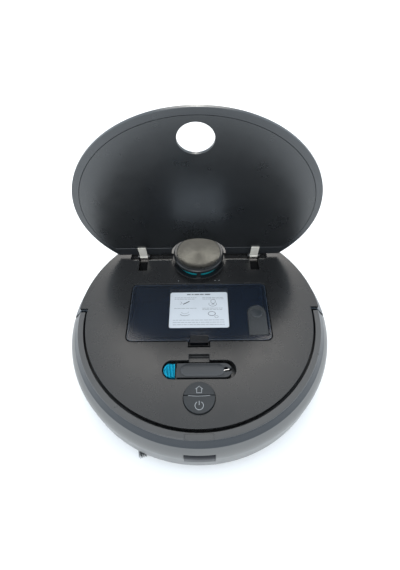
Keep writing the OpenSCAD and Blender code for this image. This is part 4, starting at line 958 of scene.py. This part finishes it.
SHOULDER_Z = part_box("bumper_shell")[1].z - 9 * MM
bumper_satin = moulded("bumper_satin", (0.1, 0.101, 0.1), (0.125, 0.125, 0.122), 0.34, depth=0.015 * MM)
band_above(bumper_satin, SHOULDER_Z, (0.012, 0.017, 0.023))
rounded("bumper_shell", 0.7 * MM, bumper_satin, 3)
shell_satin = moulded("shell_satin", (0.045, 0.05, 0.056), (0.058, 0.063, 0.069), 0.36, depth=0.015 * MM)
band_above(shell_satin, SHOULDER_Z, (0.04, 0.053, 0.066))
rounded("rear_shell", 0.7 * MM, shell_satin, 3)
ring_satin = moulded("ring_satin", (0.036, 0.036, 0.037), (0.046, 0.045, 0.044), 0.3,
                     depth=0.012 * MM, shine=0.7)
rounded("bumper_top_ring", 0.3 * MM, ring_satin)
rounded("ring_insert", 0.3 * MM, ring_satin)


# ---- Laser turret ----
# A dark glossy cage with a spun metal disc on its cap; inside it turns a teal rotor with the
# laser's outlet and its camera lens, each a small glass in a raised rim.
cage_gloss = moulded("cage_gloss", (0.006, 0.0065, 0.0075), (0.009, 0.0095, 0.0105), 0.28,
                     depth=0.004 * MM, shine=0.4)
rounded("turret_cage", 0.5 * MM, cage_gloss, 3)
rotor_teal = moulded("rotor_teal", (0.002, 0.2, 0.24), (0.004, 0.26, 0.3), 0.36, patch=30)
wear(rotor_teal, "lidar_rotor")
low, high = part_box("turret_cap_disc")
disc_centre = (low + high) / 2
disc_radius = (high.x - low.x) / 2
bpy.ops.mesh.primitive_cylinder_add(
    vertices=128, radius=disc_radius, depth=high.z - low.z, location=disc_centre
)
disc = bpy.context.object
disc.name = "spun_disc"
bpy.ops.object.transform_apply()
select_top(disc)
bpy.ops.mesh.inset(thickness=0.5 * MM)
bpy.ops.transform.translate(value=(0, 0, -0.3 * MM))
bpy.ops.mesh.inset(thickness=8 * MM)
bpy.ops.transform.translate(value=(0, 0, -0.08 * MM))
bpy.ops.mesh.inset(thickness=disc_radius - 9.5 * MM)
bpy.ops.object.mode_set(mode="OBJECT")
bpy.ops.object.shade_smooth_by_angle(angle=math.radians(30))
spun_metal = moulded("spun_metal", (0.034, 0.034, 0.031), (0.04, 0.04, 0.037), 0.24, patch=30)
finish_of(spun_metal)["Metallic"].default_value = 1
finish_of(spun_metal)["Anisotropic"].default_value = 0.95
nodes, links = spun_metal.node_tree.nodes, spun_metal.node_tree.links
place = nodes.new("ShaderNodeTexCoord")
spoke = nodes.new("ShaderNodeVectorMath")
spoke.operation = "SUBTRACT"
spoke.inputs[1].default_value = disc_centre
links.new(place.outputs["Object"], spoke.inputs[0])
spoke_in_world = nodes.new("ShaderNodeVectorTransform")
spoke_in_world.vector_type = "VECTOR"
spoke_in_world.convert_from = "OBJECT"
spoke_in_world.convert_to = "WORLD"
brushing = nodes.new("ShaderNodeVectorMath")
brushing.operation = "CROSS_PRODUCT"
brushing.inputs[1].default_value = (0, 0, 1)
links.new(spoke.outputs["Vector"], brushing.inputs[0])
links.new(brushing.outputs["Vector"], spoke_in_world.inputs["Vector"])
links.new(spoke_in_world.outputs["Vector"], finish_of(spun_metal)["Tangent"])
distance = nodes.new("ShaderNodeVectorMath")
distance.operation = "LENGTH"
links.new(spoke.outputs["Vector"], distance.inputs[0])
grooves = nodes.new("ShaderNodeTexNoise")
grooves.noise_dimensions = "1D"
grooves.inputs["Scale"].default_value = 4500
links.new(distance.outputs["Value"], grooves.inputs["W"])
links.new(grooves.outputs["Fac"], nodes["grain"].inputs["Height"])
disc.data.materials.append(spun_metal)
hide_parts("turret_cap_disc")
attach(disc, "body")

LENS_REACH = 31 * MM
lens_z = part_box("lidar_rotor")[1].z - 3.75 * MM
for name, angle, radius in (("laser_outlet", 312, 3.4 * MM), ("camera_lens", 334, 2.6 * MM)):
    bpy.ops.mesh.primitive_cylinder_add(vertices=32, radius=radius, depth=1.2 * MM)
    lens = bpy.context.object
    lens.name = name
    select_top(lens)
    bpy.ops.mesh.inset(thickness=0.6 * MM)
    bpy.ops.transform.translate(value=(0, 0, -0.35 * MM))
    bpy.ops.mesh.inset(thickness=0.5 * MM)
    bpy.ops.transform.translate(value=(0, 0, 0.2 * MM))
    bpy.ops.object.mode_set(mode="OBJECT")
    bpy.ops.object.shade_smooth_by_angle(angle=math.radians(30))
    out = Vector((math.cos(math.radians(angle)), math.sin(math.radians(angle)), 0))
    lens.rotation_euler = out.to_track_quat("Z", "Y").to_euler()
    lens.location = Vector((disc_centre.x, disc_centre.y, lens_z)) + out * LENS_REACH
    bpy.ops.object.transform_apply()
    lens.data.materials.append(window_glass)
    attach(lens, "turret_rotor")


# ---- Lid and its hinges ----
# Two mouldings glued together: the outer panel, and a satin liner inside it that leaves a rim
# all round. Two stamped steel straps are riveted to it and turn on steel pins in the deck.
lid_satin = moulded("lid_satin", (0.008, 0.0092, 0.011), (0.0105, 0.0118, 0.0138), 0.29,
                    depth=0.002 * MM, patch=6, shine=0.9)
rounded("lid_panel", 0.5 * MM, lid_satin, 3)
liner_satin = moulded("liner_satin", (0.0045, 0.005, 0.0056), (0.006, 0.0066, 0.0074), 0.29,
                      depth=0.002 * MM, patch=6, shine=0.9)
for material in (lid_satin, liner_satin):
    finish_of(material)["Specular Tint"].default_value = (0.93, 0.97, 1.0, 1)
    finish_of(material)["IOR"].default_value = 1.55
rounded("lid_liner", 0.25 * MM, liner_satin)
strap_steel = moulded("strap_steel", (0.76, 0.71, 0.62), (0.86, 0.82, 0.74), 0.36, grain=1800, patch=150)
finish_of(strap_steel)["Metallic"].default_value = 0.35
rounded("hinge_arms", 0.3 * MM, strap_steel)

GATE_REACH = 116 * MM
LID_OPEN = math.radians(80.2)
liner_face = deck_top + 0.5 * MM
opened = Matrix.Translation(hinge) @ Matrix.Rotation(-LID_OPEN, 4, "X") @ Matrix.Translation(-hinge)
for name, radius in (("gate_mark", 3.2 * MM), ("gate_point", 0.9 * MM)):
    bpy.ops.mesh.primitive_torus_add(
        major_segments=40, minor_segments=8, major_radius=radius, minor_radius=0.35 * MM,
        location=(0, hinge.y - GATE_REACH, liner_face + 0.12 * MM),
    )
    ring = bpy.context.object
    ring.name = name
    bpy.ops.object.transform_apply()
    bpy.ops.object.shade_smooth()
    ring.data.transform(opened)
    ring.data.materials.append(liner_satin)
    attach(ring, "lid")
